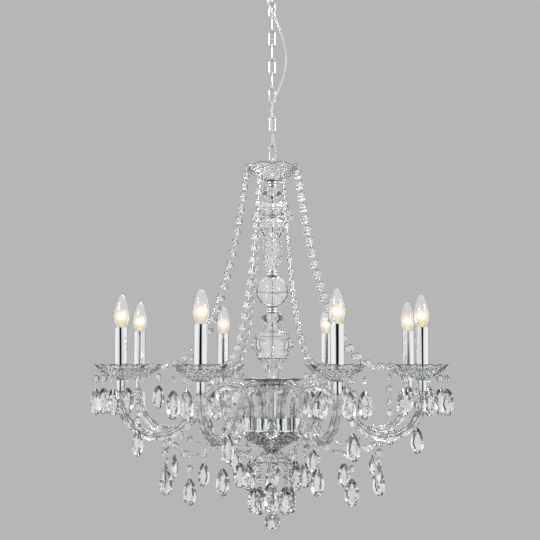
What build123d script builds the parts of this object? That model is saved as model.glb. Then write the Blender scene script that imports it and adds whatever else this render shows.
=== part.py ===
"""Eight-arm candle chandelier in clear glass and chrome, hung from a ceiling canopy on a chain.

Millimetres, +Z up. The origin is on the ceiling, at the middle of the strap that the ceiling
screws hold, so the whole chandelier hangs below z = 0.
"""

import os
from math import asin, asinh, atan2, cos, cosh, degrees, floor, hypot, pi, radians, sin, sinh, sqrt, tan

from build123d import *

# Driving dimensions: ceiling fitting
strap_length = 96.0
strap_width = 22.0
strap_thickness = 3.0
strap_screw_spacing = 68.0
strap_screw_hole = 5.2
canopy_radius = 64.0
canopy_floor_radius = 38.0
canopy_height = 53.0
canopy_wall = 1.2
canopy_bow_radius = 61.0
canopy_flex_hole = 18.5
canopy_flex_offset = 26.0
eye_wire = 5.0
eye_ring_radius = 7.6
eye_shank = 8.0
eye_drop = 20.1
shank_headroom = 0.2
lock_nut_radius = 6.4
lock_nut_height = 6.0
canopy_collar_radius = 8.0
canopy_collar_height = 4.5
edge_break = 1.0

# Driving dimensions: chain and flex
link_count = 12
link_pitch = 32.3
link_width = 16.0
link_wire = 3.2
link_gap = 0.15
swing_gap = 0.3
flex_diameter = 5.0
flex_bend_share = 0.45
terminal_length = 14.0
terminal_width = 14.0
terminal_depth = 12.0
terminal_corner = 2.0

# Driving dimensions: the column, from the top down
column_eye_wire = 4.5
column_eye_radius = 13.25
column_eye_height = 39.8
column_flange_radius = 14.0
column_flange_height = 8.0
column_flange_chamfer = 1.5
flex_entry_x = 9.0
flex_entry_y = -4.5
flex_entry_clearance = 0.2
flex_entry_depth = 5.0
flex_first_run = 28.0
rod_diameter = 8.0
rod_bore = 5.6
rod_clearance = 0.3
rod_overhang = 2.0
rod_top_inset = 1.0
glass_wall = 4.0
dish_hip_out = 0.62
dish_hip_up = 0.52
dish_hip_lean = 0.8
dish_foot_lean = 0.4
lobe_overlap = 1.02
crown_radius = 61.0
crown_depth = 34.0
crown_lobes = 8
crown_foot_margin = 2.0
collar_heights = (12.6, 12.0, 11.9)
collar_radius = 14.6
collar_groove = 1.6
knop_height = 19.8
knop_radius = 24.3
knop_face_radius = 16.5
upper_vase_height = 161.8
ball_height = 69.2
ball_radius = 35.6
ball_mid_angle = 40.0
lower_vase_height = 75.7
stem_height = 57.0
hub_core_height = 93.0
hub_core_radius = 27.0
plate_edge_gap = 3.5
plate_thickness = 3.0
bowl_radius = 73.5
bowl_depth = 41.0
bowl_lobes = 16
gallery_radius = 70.0
gallery_depth = 14.0
gallery_foot_margin = 8.0
finial_radius = 41.0
finial_depth = 26.0
finial_lobes = 8
rod_nut_height = 9.0
rod_nut_radius = 9.0
rod_nut_margin = 3.0
rod_nut_skirt = 3.0
rod_nut_skirt_taper = -8.0

# Driving dimensions: arms and candles
arm_count = 8
arm_first_angle = 22.5
arm_diameter = 19.0
arm_bore = 7.0
arm_circle = 50.0
arch_radius = 50.0
arch_height = 92.0
u_radius = 80.0
arm_end_rise = 82.0
arm_end_straight = 12.0
arm_seat_gap = 0.2
candle_circle = 330.0
ferrule_radius = 13.2
ferrule_height = 24.0
ferrule_clearance = 0.25
cup_radius = 8.25
cup_height = 23.5
nipple_diameter = 8.0
nipple_bore = 4.0
nipple_clearance = 0.25
nipple_foot_gap = 0.5
nipple_top_inset = 2.0
bobeche_radius = 54.0
bobeche_depth = 31.5
bobeche_wall = 3.0
bobeche_lobes = 12
bobeche_foot_margin = 1.5
tube_radius = 13.3
tube_wall = 1.0
tube_length = 102.5
holder_radius = 10.5
holder_base_radius = 11.8
holder_base_height = 14.0
holder_top_gap = 7.0
socket_depth = 24.0
socket_clearance = 0.35
bulb_cap_diameter = 13.6
bulb_cap_length = 22.0
bulb_cap_chamfer = 3.0
bulb_neck_margin = 1.4
bulb_diameter = 35.0
bulb_height = 74.0
bulb_wall = 0.9
bulb_belly_rise = 31.6
bulb_tip_radius = 3.4
filament_stem_radius = 2.2
filament_stem_height = 31.6
filament_stem_taper = 1.5
lead_diameter = 3.0
lead_reach = 6.0
rod_lead_radius = 2.4

# Driving dimensions: beads, drops and their wire
bead_across = 16.0
bead_thickness = 7.5
bead_girdle = 2.0
bead_bevel = 3.6
bead_turn = 67.0
pin_diameter = 1.2
pin_gap = 0.25
hook_gap = 0.5
crown_hook_inset = 2.0
bobeche_hook_inset = 3.5
bowl_hook_inset = 4.5
finial_hook_inset = 2.0
drop_length = 53.0
drop_width = 29.0
drop_thickness = 12.0
drop_girdle = 2.0
drop_taper = 45.0
drop_swing = 32.0
# Corners down one side of a drop, as shares of its half width and of its length
drop_outline = ((0.34, 0.05), (0.69, 0.18), (0.92, 0.37), (1.0, 0.58), (0.92, 0.78), (0.6, 0.93))
pear_outline = ((0.3, 0.16), (0.68, 0.4), (1.0, 0.68), (0.74, 0.9))
pear_length = 41.0
pear_width = 31.0
pear_thickness = 13.0
drop_pin = 11.0
pear_pin = 24.0
ball_pin = 17.5
strand_beads = 21
strand_pitch = 25.0
strand_rolls = (0.0, 0.0, 0.0, 90.0, 90.0, 90.0, 0.0, 0.0)
pendant_pitch = 25.0
tail_pitch = 27.0
tail_beads = 4
bobeche_hanger = 16.0
arm_hanger = 14.0
arch_hanger = 14.0
u_hanger = 13.0
bowl_hanger = 10.0
finial_hanger = 4.0
ball_beads = 4
pendant_ball_diameter = 35.0
hanger_ring_wire = 1.6
hanger_ring_clearance = 0.8
jump_ring_diameter = 4.0
u_ring_circle = 238.0
arch_swag_sag = 10.0
arch_swag_beads = 1
u_swag_sag = 37.0
u_swag_outset = 6.0
u_swag_beads = 3

os.makedirs("parts", exist_ok=True)


def write(piece, name):
    """Labels one finished sub-part and writes it."""
    piece.label = name
    export_step(piece, f"parts/{name}.step")


def write_group(solids, name):
    """Writes separate solids of one kind as one sub-part."""
    write(Compound(children=list(solids)), name)


def around(count, radius, first=0.0, z=0.0):
    """Places on a circle about the Z axis, each with its own X pointing outwards."""
    turns = [first + 360.0 / count * k for k in range(count)]
    return [Rotation(0, 0, turn) * Location((radius, 0, z)) for turn in turns]


# Levels down the axis
eye_bar_z = -(canopy_height + eye_drop) - eye_wire / 2
chain_top_z = eye_bar_z + eye_wire / 2
column_eye_top_z = chain_top_z - link_count * link_pitch
crown_floor_z = column_eye_top_z - column_eye_height
crown_bottom_z = crown_floor_z - glass_wall
upper_knop_top_z = crown_bottom_z - collar_heights[0]
upper_vase_top_z = upper_knop_top_z - knop_height
middle_collar_top_z = upper_vase_top_z - upper_vase_height
ball_top_z = middle_collar_top_z - collar_heights[1]
lower_collar_top_z = ball_top_z - ball_height
lower_knop_top_z = lower_collar_top_z - collar_heights[2]
lower_vase_top_z = lower_knop_top_z - knop_height
stem_top_z = lower_vase_top_z - lower_vase_height
hub_top_z = stem_top_z - stem_height
plate_top_z = hub_top_z - hub_core_height
plate_bottom_z = plate_top_z - plate_thickness
bowl_apex_z = plate_bottom_z - bowl_depth
finial_top_z = bowl_apex_z
rod_bottom_z = finial_top_z - glass_wall - rod_nut_height - rod_overhang
rod_top_z = crown_floor_z + column_flange_height - rod_top_inset
rod_hole_radius = rod_diameter / 2 + rod_clearance
arm_end_z = plate_top_z + arm_end_rise
cup_top_z = arm_end_z + cup_height
bobeche_floor_z = cup_top_z + bobeche_wall
bobeche_rim_z = cup_top_z + bobeche_depth
tube_top_z = bobeche_floor_z + tube_length
holder_top_z = tube_top_z - holder_top_gap
bulb_base_z = holder_top_z + socket_clearance - bulb_cap_length
crown_rim_z = crown_bottom_z + crown_depth

# Ceiling strap with two screw holes and the tapped hole for the eye
with BuildPart() as ceiling_strap:
    with BuildSketch(Plane.XY.offset(-strap_thickness)):
        SlotOverall(strap_length, strap_width)
    extrude(amount=strap_thickness)
    with GridLocations(strap_screw_spacing, 0, 2, 1):
        Hole(strap_screw_hole / 2)
    Hole(eye_shank / 2 + rod_clearance)
write(ceiling_strap.part, "ceiling_strap")

# Eye bolt that carries the chain: a closed ring across X on a threaded shank
eye_centre_z = eye_bar_z + eye_ring_radius
shank_top_z = -shank_headroom
with BuildPart() as ceiling_eye:
    with Locations(Location((0, 0, eye_centre_z), (90, 0, 0))):
        Torus(eye_ring_radius, eye_wire / 2)
    with Locations((0, 0, eye_centre_z + eye_ring_radius)):
        shank_length = shank_top_z - eye_centre_z - eye_ring_radius
        Cylinder(eye_shank / 2, shank_length, align=(Align.CENTER, Align.CENTER, Align.MIN))
write(ceiling_eye.part, "ceiling_eye")

# Lock nut under the strap and the threaded collar that holds the canopy up
with BuildPart() as lock_nut:
    with BuildSketch(Plane.XY.offset(-strap_thickness - lock_nut_height)):
        RegularPolygon(lock_nut_radius, 6)
        Circle(eye_shank / 2 + rod_clearance, mode=Mode.SUBTRACT)
    extrude(amount=lock_nut_height)
with BuildPart() as canopy_collar:
    with BuildSketch(Plane.XY.offset(-canopy_height - canopy_collar_height)):
        Circle(canopy_collar_radius)
        Circle(eye_shank / 2 + rod_clearance, mode=Mode.SUBTRACT)
    extrude(amount=canopy_collar_height)
    chamfer(canopy_collar.edges().group_by(Axis.Z)[0].sort_by(SortBy.RADIUS)[-1:], edge_break)
write_group([lock_nut.part, canopy_collar.part], "ceiling_nuts")

# Canopy: a thin pressed cup against the ceiling, with a flat floor
with BuildPart() as canopy:
    with BuildSketch(Plane.XZ):
        with BuildLine():
            inner = canopy_radius - canopy_wall
            base = canopy_floor_radius
            hole = eye_shank / 2 + rod_clearance
            lift = canopy_height - canopy_wall
            Polyline((inner, 0), (canopy_radius, 0))
            RadiusArc((canopy_radius, 0), (base, -canopy_height), canopy_bow_radius)
            Polyline((base, -canopy_height), (hole, -canopy_height), (hole, -lift))
            Line((hole, -lift), (base - canopy_wall, -lift))
            RadiusArc((base - canopy_wall, -lift), (inner, 0), -canopy_bow_radius)
        make_face()
    revolve(axis=Axis.Z)
    with Locations((-canopy_flex_offset, 0, -canopy_height)):
        Cylinder(canopy_flex_hole / 2, 3 * canopy_wall, mode=Mode.SUBTRACT)
write(canopy.part, "canopy")

# One chain link, a racetrack of round wire standing in the YZ plane with its inside top at z = 0
link_bend = (link_width - link_wire) / 2
link_inside = link_bend - link_wire / 2
with BuildPart() as chain_link:
    with BuildLine(Plane.YZ) as link_path:
        straight_top = -link_inside
        straight_bottom = -link_pitch + link_inside
        Line((link_bend, straight_bottom), (link_bend, straight_top))
        RadiusArc((link_bend, straight_top), (-link_bend, straight_top), -link_bend)
        Line((-link_bend, straight_top), (-link_bend, straight_bottom))
        RadiusArc((-link_bend, straight_bottom), (link_bend, straight_bottom), -link_bend)
    with BuildSketch(Plane(link_path.line @ 0, z_dir=link_path.line % 0)):
        Circle(link_wire / 2)
    sweep(path=link_path.line)


def chain_slack(k):
    """Play added up by the gaps above link k: two that swing, then the links' own."""
    return swing_gap * min(k + 1, 2) + link_gap * max(k - 1, 0)


def link_place(k):
    """Link k hangs just off the one above it, turned a quarter turn from it."""
    return Location((0, 0, chain_top_z - k * link_pitch + chain_slack(k)), (0, 0, 90 * (k % 2)))


write(chain_link.part.moved(link_place(0)), "chain_top_link")
write_group([chain_link.part.moved(link_place(k)) for k in range(1, link_count)], "chain_links")

# Flex: leaves the column flange, bulges out beside the chain and goes up into the canopy
flex_start_z = crown_floor_z + column_flange_height - flex_entry_depth
flex_points = [
    (flex_entry_x, flex_entry_y, flex_start_z),
    (flex_entry_x, flex_entry_y, flex_start_z + flex_first_run),
    (8.0, -10.0, -438.0),
    (1.0, -14.0, -403.0),
    (-3.5, -14.5, -365.0),
    (3.0, -14.0, -329.0),
    (17.0, -9.0, -297.0),
    (29.0, -4.0, -260.0),
    (31.5, -3.0, -220.0),
    (22.0, -7.0, -180.0),
    (7.5, -14.0, -145.0),
    (-8.0, -14.0, -110.0),
    (-19.5, -9.0, -78.0),
    (-canopy_flex_offset, -0.5, -52.0),
    (-canopy_flex_offset - 1.0, 0.0, -38.0),
]
flex_knots = [Vector(*point) for point in flex_points]
flex_radii = []
for before, corner, after in zip(flex_knots, flex_knots[1:], flex_knots[2:]):
    turn = (corner - before).get_angle(after - corner)
    shorter_run = min((corner - before).length, (after - corner).length)
    flex_radii.append(flex_bend_share * shorter_run / tan(radians(turn / 2)))
with BuildPart() as flex:
    with BuildLine() as flex_path:
        FilletPolyline(*flex_points, radius=flex_radii)
    flex_line = flex_path.wire()
    with BuildSketch(Plane(flex_line @ 0, z_dir=flex_line % 0)):
        Circle(flex_diameter / 2)
    sweep(path=flex_line)
flex_section = pi * flex_diameter**2 / 4
print("flex radii", [round(radius) for radius in flex_radii])
print("flex length", round(flex_line.length, 1))
print("flex volume", round(flex.part.volume), "of", round(flex_section * flex_line.length))
write(flex.part, "flex")

# Terminal block on the end of the flex, inside the canopy
with BuildPart() as terminal_block:
    with BuildSketch(Plane(flex_line @ 1, x_dir=(1, 0, 0), z_dir=flex_line % 1)):
        RectangleRounded(terminal_width, terminal_depth, terminal_corner)
    extrude(amount=terminal_length)
write(terminal_block.part, "terminal_block")

# Column eye: a ring across Y on a flange that sits on the crown's floor
column_ring_z = column_eye_top_z + column_eye_wire / 2 - column_eye_radius
column_ring_z += chain_slack(link_count)
with BuildPart() as column_eye:
    with BuildSketch(Plane.XY.offset(crown_floor_z)):
        Circle(column_flange_radius)
    extrude(amount=column_flange_height)
    chamfer(column_eye.edges().group_by(Axis.Z)[-1], column_flange_chamfer)
    with Locations(Location((0, 0, column_ring_z), (0, 90, 0))):
        Torus(column_eye_radius, column_eye_wire / 2)
    with Locations((0, 0, crown_floor_z)):
        neck_top = column_ring_z - column_eye_radius - crown_floor_z
        Cylinder(column_eye_wire, neck_top, align=(Align.CENTER, Align.CENTER, Align.MIN))
        seat_depth = rod_top_z - crown_floor_z + rod_clearance
        seat = (Align.CENTER, Align.CENTER, Align.MIN)
        Cylinder(rod_hole_radius, seat_depth, align=seat, mode=Mode.SUBTRACT)
    with Locations((flex_entry_x, flex_entry_y, crown_floor_z + column_flange_height)):
        entry = (Align.CENTER, Align.CENTER, Align.MAX)
        Cylinder(flex_diameter / 2 + flex_entry_clearance, flex_entry_depth, align=entry, mode=Mode.SUBTRACT)
write(column_eye.part, "column_eye")

# Hollow threaded rod that the whole column is strung on
with BuildPart() as column_rod:
    with BuildSketch(Plane.XY.offset(rod_bottom_z)):
        Circle(rod_diameter / 2)
        Circle(rod_bore / 2, mode=Mode.SUBTRACT)
    extrude(amount=rod_top_z - rod_bottom_z)
write(column_rod.part, "column_rod")


def dish_points(radius, depth, foot, wall, hole):
    """Half section of a dish: floor, slanted bowl and a flatter flared rim, standing on z = 0."""
    hip_radius = foot + (radius - foot) * dish_hip_out
    hip_z = depth * dish_hip_up
    return [
        (hole, 0),
        (foot, 0),
        (hip_radius, hip_z),
        (radius, depth - wall),
        (radius, depth),
        (hip_radius - wall * dish_hip_lean, hip_z + wall),
        (foot - wall * dish_foot_lean, wall),
        (hole, wall),
    ]


def under_dish(radius, depth, foot, wall, at):
    """Height of the slanted rim's underside at one radius, above the dish's own foot."""
    hip_radius = foot + (radius - foot) * dish_hip_out
    hip_z = depth * dish_hip_up
    return hip_z + (depth - wall - hip_z) * (at - hip_radius) / (radius - hip_radius)


def over_dish(radius, depth, foot, wall, at):
    """Height of the slanted rim's upper side at one radius, above the dish's own foot."""
    hip_radius = foot + (radius - foot) * dish_hip_out - wall * dish_hip_lean
    hip_z = depth * dish_hip_up + wall
    return hip_z + (depth - hip_z) * (at - hip_radius) / (radius - hip_radius)


def lobed_dish(radius, depth, foot, wall, hole, lobes):
    """A cut-glass dish whose rim is scalloped into equal lobes, standing on z = 0."""
    lobe_radius = radius * sin(radians(180 / lobes)) * lobe_overlap
    with BuildPart() as dish:
        with BuildSketch(Plane.XZ):
            with BuildLine():
                Polyline(*dish_points(radius, depth, foot, wall, hole), close=True)
            make_face()
        revolve(axis=Axis.Z)
        with BuildSketch():
            Circle(radius - lobe_radius)
            with PolarLocations(radius - lobe_radius, lobes):
                Circle(lobe_radius)
        extrude(amount=depth + wall, mode=Mode.INTERSECT)
    return dish.part


# Crown dish under the column eye
crown_foot = column_flange_radius + crown_foot_margin
crown = lobed_dish(crown_radius, crown_depth, crown_foot, glass_wall, rod_hole_radius, crown_lobes)
write(crown.moved(Location((0, 0, crown_bottom_z), (0, 0, arm_first_angle))), "crown_dish")

# Chrome collars, each a pair of rings, between the glass pieces
def collar(height, top_z):
    """A double ring turned from one piece, open for the rod."""
    half = height / 2
    waist = collar_radius - collar_groove
    with BuildPart() as ring:
        with BuildSketch(Plane.XZ):
            with BuildLine():
                Polyline((rod_hole_radius, top_z), (waist, top_z))
                ThreePointArc((waist, top_z), (collar_radius, top_z - half / 2), (waist, top_z - half))
                ThreePointArc(
                    (waist, top_z - half), (collar_radius, top_z - 1.5 * half), (waist, top_z - height)
                )
                Polyline((waist, top_z - height), (rod_hole_radius, top_z - height), (rod_hole_radius, top_z))
            make_face()
        revolve(axis=Axis.Z)
    return ring.part


collar_tops = (crown_bottom_z, middle_collar_top_z, lower_collar_top_z)
write_group([collar(h, z) for h, z in zip(collar_heights, collar_tops)], "collars")


def turned_glass(points, wall=glass_wall):
    """A hollow glass piece turned about the column: outer outline given from the top down."""
    inside = [(max(r - wall, rod_hole_radius), z) for r, z in reversed(points)]
    inside[0] = (rod_hole_radius, inside[0][1])
    inside[-1] = (rod_hole_radius, inside[-1][1])
    base = (inside[1][0], inside[0][1] + wall)
    roof = (inside[-2][0], inside[-1][1] - wall)
    hollow = [inside[0], (rod_hole_radius, base[1]), base, *inside[1:-1], roof, (rod_hole_radius, roof[1])]
    with BuildPart() as piece:
        with BuildSketch(Plane.XZ):
            with BuildLine():
                Polyline(*points, *hollow, inside[-1], close=True)
            make_face()
        revolve(axis=Axis.Z)
    return piece.part


# Two knops, each a thick cushion ring
def knop(top_z):
    """A solid glass cushion with a rounded edge, drilled for the rod."""
    face = knop_face_radius
    bottom_z = top_z - knop_height
    with BuildPart() as cushion:
        with BuildSketch(Plane.XZ):
            with BuildLine():
                Line((rod_hole_radius, top_z), (face, top_z))
                ThreePointArc((face, top_z), (knop_radius, top_z - knop_height / 2), (face, bottom_z))
                Polyline((face, bottom_z), (rod_hole_radius, bottom_z), (rod_hole_radius, top_z))
            make_face()
        revolve(axis=Axis.Z)
    return cushion.part


write_group([knop(upper_knop_top_z), knop(lower_knop_top_z)], "knops")

# Upper vase: flared neck, shoulder, wide ring, fluted waist and a slim foot
vase_shoulder_radius = 35.5
vase_ring_radius = 44.8
vase_waist_radius = 30.0
vase_foot_radius = 21.4
upper_vase_outline = [
    (15.5, 0.0),
    (19.5, 2.0),
    (vase_shoulder_radius - 1.5, 20.0),
    (vase_shoulder_radius + 0.8, 33.5),
    (vase_ring_radius, 44.0),
    (vase_ring_radius, 54.0),
    (vase_waist_radius + 8.0, 65.0),
    (vase_waist_radius, 73.5),
    (vase_waist_radius + 1.8, 77.0),
    (vase_foot_radius, 93.0),
    (vase_foot_radius + 0.8, upper_vase_height - 24.0),
    (collar_radius - 0.4, upper_vase_height - 5.0),
    (collar_radius - 0.4, upper_vase_height),
]
write(turned_glass([(r, upper_vase_top_z - d) for r, d in upper_vase_outline]), "upper_vase")

# Ball in two halves that meet at the middle
ball_centre_z = ball_top_z - ball_height / 2
ball_hollow = ball_radius - glass_wall
ball_cap_radius = sqrt(ball_radius**2 - (ball_height / 2) ** 2)
hollow_cap_z = sqrt(ball_hollow**2 - rod_hole_radius**2)


def ball_half(side):
    """One half shell of the ball, side 1 above the seam or -1 below it."""
    end_z = ball_centre_z + side * ball_height / 2
    across, up = cos(radians(ball_mid_angle)), side * sin(radians(ball_mid_angle))
    outer_mid = (ball_radius * across, ball_centre_z + ball_radius * up)
    inner_mid = (ball_hollow * across, ball_centre_z + ball_hollow * up)
    hollow_end = (rod_hole_radius, ball_centre_z + side * hollow_cap_z)
    with BuildPart() as shell:
        with BuildSketch(Plane.XZ):
            with BuildLine():
                Line((ball_hollow, ball_centre_z), (ball_radius, ball_centre_z))
                ThreePointArc((ball_radius, ball_centre_z), outer_mid, (ball_cap_radius, end_z))
                Polyline((ball_cap_radius, end_z), (rod_hole_radius, end_z), hollow_end)
                ThreePointArc(hollow_end, inner_mid, (ball_hollow, ball_centre_z))
            make_face()
        revolve(axis=Axis.Z)
    return shell.part


write(ball_half(1), "ball_upper_half")
write(ball_half(-1), "ball_lower_half")

# Lower vase and the fluted stem with its cut neck
lower_ring_radius = 46.0
lower_foot_radius = 31.5
lower_vase_outline = [
    (16.0, 0.0),
    (18.0, 2.5),
    (36.3, 23.7),
    (37.2, 37.5),
    (lower_ring_radius, 47.0),
    (lower_ring_radius, 53.0),
    (lower_foot_radius, lower_vase_height - 1.0),
    (lower_foot_radius, lower_vase_height),
]
write(turned_glass([(r, lower_vase_top_z - d) for r, d in lower_vase_outline]), "lower_vase")
stem_top_radius = 33.0
stem_band_radius = 19.5
stem_neck_radius = 16.6
flute_height = 26.0
band_height = 3.0
stem_outline = [
    (stem_top_radius, 0.0),
    (stem_top_radius - 7.5, 8.0),
    (stem_band_radius - 1.0, flute_height),
    (stem_band_radius, flute_height + 0.5),
    (stem_band_radius, flute_height + band_height),
    (stem_neck_radius, flute_height + band_height + 0.5),
    (stem_neck_radius, stem_height),
]
write(turned_glass([(r, stem_top_z - d) for r, d in stem_outline]), "fluted_stem")

# Gallery dish over the arches, threaded on the stem's neck
gallery_clearance = 0.3
gallery_foot = stem_neck_radius + gallery_foot_margin
gallery_hole = stem_neck_radius + gallery_clearance
gallery = lobed_dish(gallery_radius, gallery_depth, gallery_foot, bobeche_wall, gallery_hole, crown_lobes)
gallery_bottom_z = hub_top_z
write(gallery.moved(Location((0, 0, gallery_bottom_z))), "gallery_dish")

# Hub core between the stem and the arm plate: a thick cut-glass cylinder
core_wall = 6.0
with BuildPart() as hub_core:
    with BuildSketch(Plane.XZ):
        with BuildLine():
            inner_radius = hub_core_radius - core_wall
            roof_z = hub_top_z - core_wall
            Polyline(
                (rod_hole_radius, hub_top_z),
                (hub_core_radius, hub_top_z),
                (hub_core_radius, plate_top_z),
                (inner_radius, plate_top_z),
                (inner_radius, roof_z),
                (rod_hole_radius, roof_z),
                close=True,
            )
        make_face()
    revolve(axis=Axis.Z)
write(hub_core.part, "hub_core")

# Arm plate in the bowl's mouth, with a lead hole under each arm
plate_radius = bowl_radius - plate_edge_gap
with BuildPart() as arm_plate:
    with BuildSketch(Plane.XY.offset(plate_bottom_z)):
        Circle(plate_radius)
        Circle(rod_hole_radius, mode=Mode.SUBTRACT)
        with PolarLocations(arm_circle, arm_count, start_angle=arm_first_angle):
            Circle(arm_bore / 2, mode=Mode.SUBTRACT)
    extrude(amount=plate_thickness)
write(arm_plate.part, "arm_plate")

# Ferrules: chrome sleeves on the plate that hold the arms' inner ends
with BuildPart() as ferrule:
    with BuildSketch(Plane.XY.offset(plate_top_z)):
        Circle(ferrule_radius)
        Circle(arm_diameter / 2 + ferrule_clearance, mode=Mode.SUBTRACT)
    extrude(amount=ferrule_height)
ferrules = [ferrule.part.moved(place) for place in around(arm_count, arm_circle, arm_first_angle)]
write_group(ferrules, "ferrules")

# Bowl under the plate and the small inverted finial dish
bowl_foot = rod_nut_radius + rod_nut_margin
bowl = lobed_dish(bowl_radius, bowl_depth, bowl_foot, glass_wall, rod_hole_radius, bowl_lobes)
write(bowl.moved(Location((0, 0, bowl_apex_z))), "bottom_bowl")
finial_foot = rod_nut_radius + rod_nut_margin
finial = lobed_dish(finial_radius, finial_depth, finial_foot, glass_wall, rod_hole_radius, finial_lobes)
write(finial.moved(Location((0, 0, finial_top_z), (180, 0, 0))), "finial_dish")

# Nut that clamps the column, with a loop below it for the last pendant
nut_top_z = finial_top_z - glass_wall
nut_bottom_z = nut_top_z - rod_nut_height
nut_loop_radius = 4.0
nut_loop_wire = 2.0
nut_loop_z = nut_bottom_z - rod_nut_skirt - nut_loop_radius
with BuildPart() as rod_nut:
    with BuildSketch(Plane.XY.offset(nut_bottom_z)):
        Circle(rod_nut_radius)
    extrude(amount=rod_nut_height)
    with BuildSketch(Plane.XY.offset(nut_bottom_z - rod_nut_skirt)):
        Circle(rod_nut_radius)
    extrude(amount=rod_nut_skirt, taper=rod_nut_skirt_taper)
    with Locations((0, 0, nut_top_z)):
        nut_seat = nut_top_z - rod_bottom_z + rod_clearance
        Cylinder(
            rod_hole_radius, nut_seat, align=(Align.CENTER, Align.CENTER, Align.MAX), mode=Mode.SUBTRACT
        )
    with Locations(Location((0, 0, nut_loop_z), (90, 0, 0))):
        Torus(nut_loop_radius, nut_loop_wire / 2)
write(rod_nut.part, "rod_nut")

# One arm in the XZ plane: up out of the ferrule, over the arch, down and round the U to the candle
arch_centre = (arm_circle + arch_radius, plate_top_z + arch_height - arch_radius)
u_centre = (candle_circle - u_radius, arm_end_z - arm_end_straight)
centre_run = hypot(u_centre[0] - arch_centre[0], u_centre[1] - arch_centre[1])
centre_slope = degrees(atan2(u_centre[1] - arch_centre[1], u_centre[0] - arch_centre[0]))
fall = degrees(asin((arch_radius + u_radius) / centre_run)) - centre_slope
slant = sqrt(centre_run**2 - (arch_radius + u_radius) ** 2)
arm_start_z = plate_top_z + arm_seat_gap


def arm_path(first_z, last_z):
    """The arm's centre line between two heights on its upright ends."""
    with BuildLine(Plane.XZ) as path:
        Line((arm_circle, first_z), (arm_circle, arch_centre[1]))
        JernArc((arm_circle, arch_centre[1]), (0, 1), arch_radius, -(90 + fall))
        along, down = cos(radians(fall)), sin(radians(fall))
        slope = (along, -down)
        corner = (arch_centre[0] + arch_radius * down, arch_centre[1] + arch_radius * along)
        low = (corner[0] + slant * slope[0], corner[1] + slant * slope[1])
        Line(corner, low)
        JernArc(low, slope, u_radius, 90 + fall)
        Line((candle_circle, u_centre[1]), (candle_circle, last_z))
    return path.wire()


def wire_along(path, diameter):
    """A round bar swept along a path."""
    with BuildPart() as bar:
        with BuildSketch(Plane(path @ 0, z_dir=path % 0)):
            Circle(diameter / 2)
        sweep(path=path)
    return bar.part


with BuildPart() as arm:
    add(wire_along(arm_path(arm_start_z, arm_end_z), arm_diameter))
    add(wire_along(arm_path(arm_start_z, arm_end_z), arm_bore), mode=Mode.SUBTRACT)
for number, turn in enumerate(around(arm_count, 0.0, arm_first_angle), 1):
    write(arm.part.moved(turn), f"arm_{number}")

# Candle parts about their own upright axis, then placed on the candle circle
candle_places = around(arm_count, candle_circle, arm_first_angle)
with BuildPart() as cup:
    with BuildSketch(Plane.XY.offset(arm_end_z)):
        Circle(cup_radius)
        Circle(nipple_diameter / 2 + nipple_clearance, mode=Mode.SUBTRACT)
    extrude(amount=cup_height)
    chamfer(cup.edges().group_by(Axis.Z)[0].sort_by(SortBy.RADIUS)[-1:], edge_break)
write_group([cup.part.moved(place) for place in candle_places], "candle_cups")

nipple_foot_z = arm_end_z + nipple_foot_gap
nipple_top_z = bobeche_floor_z + holder_base_height - nipple_top_inset
with BuildPart() as nipple:
    with BuildSketch(Plane.XY.offset(nipple_foot_z)):
        Circle(nipple_diameter / 2)
        Circle(nipple_bore / 2, mode=Mode.SUBTRACT)
    extrude(amount=nipple_top_z - nipple_foot_z)
write_group([nipple.part.moved(place) for place in candle_places], "nipples")

bobeche_foot = tube_radius + bobeche_foot_margin
nipple_hole = nipple_diameter / 2 + nipple_clearance
bobeche = lobed_dish(bobeche_radius, bobeche_depth, bobeche_foot, bobeche_wall, nipple_hole, bobeche_lobes)
bobeche_seat = Location((0, 0, cup_top_z))
write_group([bobeche.moved(place * bobeche_seat) for place in candle_places], "bobeches")

with BuildPart() as candle_tube:
    with BuildSketch(Plane.XY.offset(bobeche_floor_z)):
        Circle(tube_radius)
        Circle(tube_radius - tube_wall, mode=Mode.SUBTRACT)
    extrude(amount=tube_length)
write_group([candle_tube.part.moved(place) for place in candle_places], "candle_tubes")

with BuildPart() as holder:
    with BuildSketch(Plane.XY.offset(bobeche_floor_z)):
        Circle(holder_base_radius)
    extrude(amount=holder_base_height)
    with BuildSketch(Plane.XY.offset(bobeche_floor_z + holder_base_height)):
        Circle(holder_radius)
    extrude(amount=holder_top_z - bobeche_floor_z - holder_base_height)
    with Locations((0, 0, holder_top_z)):
        socket_radius = bulb_cap_diameter / 2 + socket_clearance
        Cylinder(
            socket_radius, socket_depth, align=(Align.CENTER, Align.CENTER, Align.MAX), mode=Mode.SUBTRACT
        )
    with Locations((0, 0, bobeche_floor_z)):
        Cylinder(
            nipple_hole,
            holder_base_height,
            align=(Align.CENTER, Align.CENTER, Align.MIN),
            mode=Mode.SUBTRACT,
        )
write_group([holder.part.moved(place) for place in candle_places], "lampholders")

# Leads: one through each arm and one down the rod
lead_top_z = arm_end_z + lead_reach
lead = wire_along(arm_path(plate_bottom_z, lead_top_z), lead_diameter)
with BuildPart() as rod_lead:
    with BuildSketch(Plane.XY.offset(rod_bottom_z)):
        Circle(rod_lead_radius)
    extrude(amount=rod_top_z - rod_bottom_z - rod_top_inset)
leads = [lead.moved(turn) for turn in around(arm_count, 0.0, arm_first_angle)]
write_group([*leads, rod_lead.part], "leads")

# Candle bulb: thin glass flame on a screw cap, with the glass stem that carries the filament
bulb_neck_z = bulb_base_z + bulb_cap_length
bulb_neck_radius = bulb_cap_diameter / 2 + bulb_neck_margin
bulb_belly_z = bulb_neck_z + bulb_belly_rise
bulb_top_z = bulb_neck_z + bulb_height
belly_radius = bulb_diameter / 2


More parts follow.
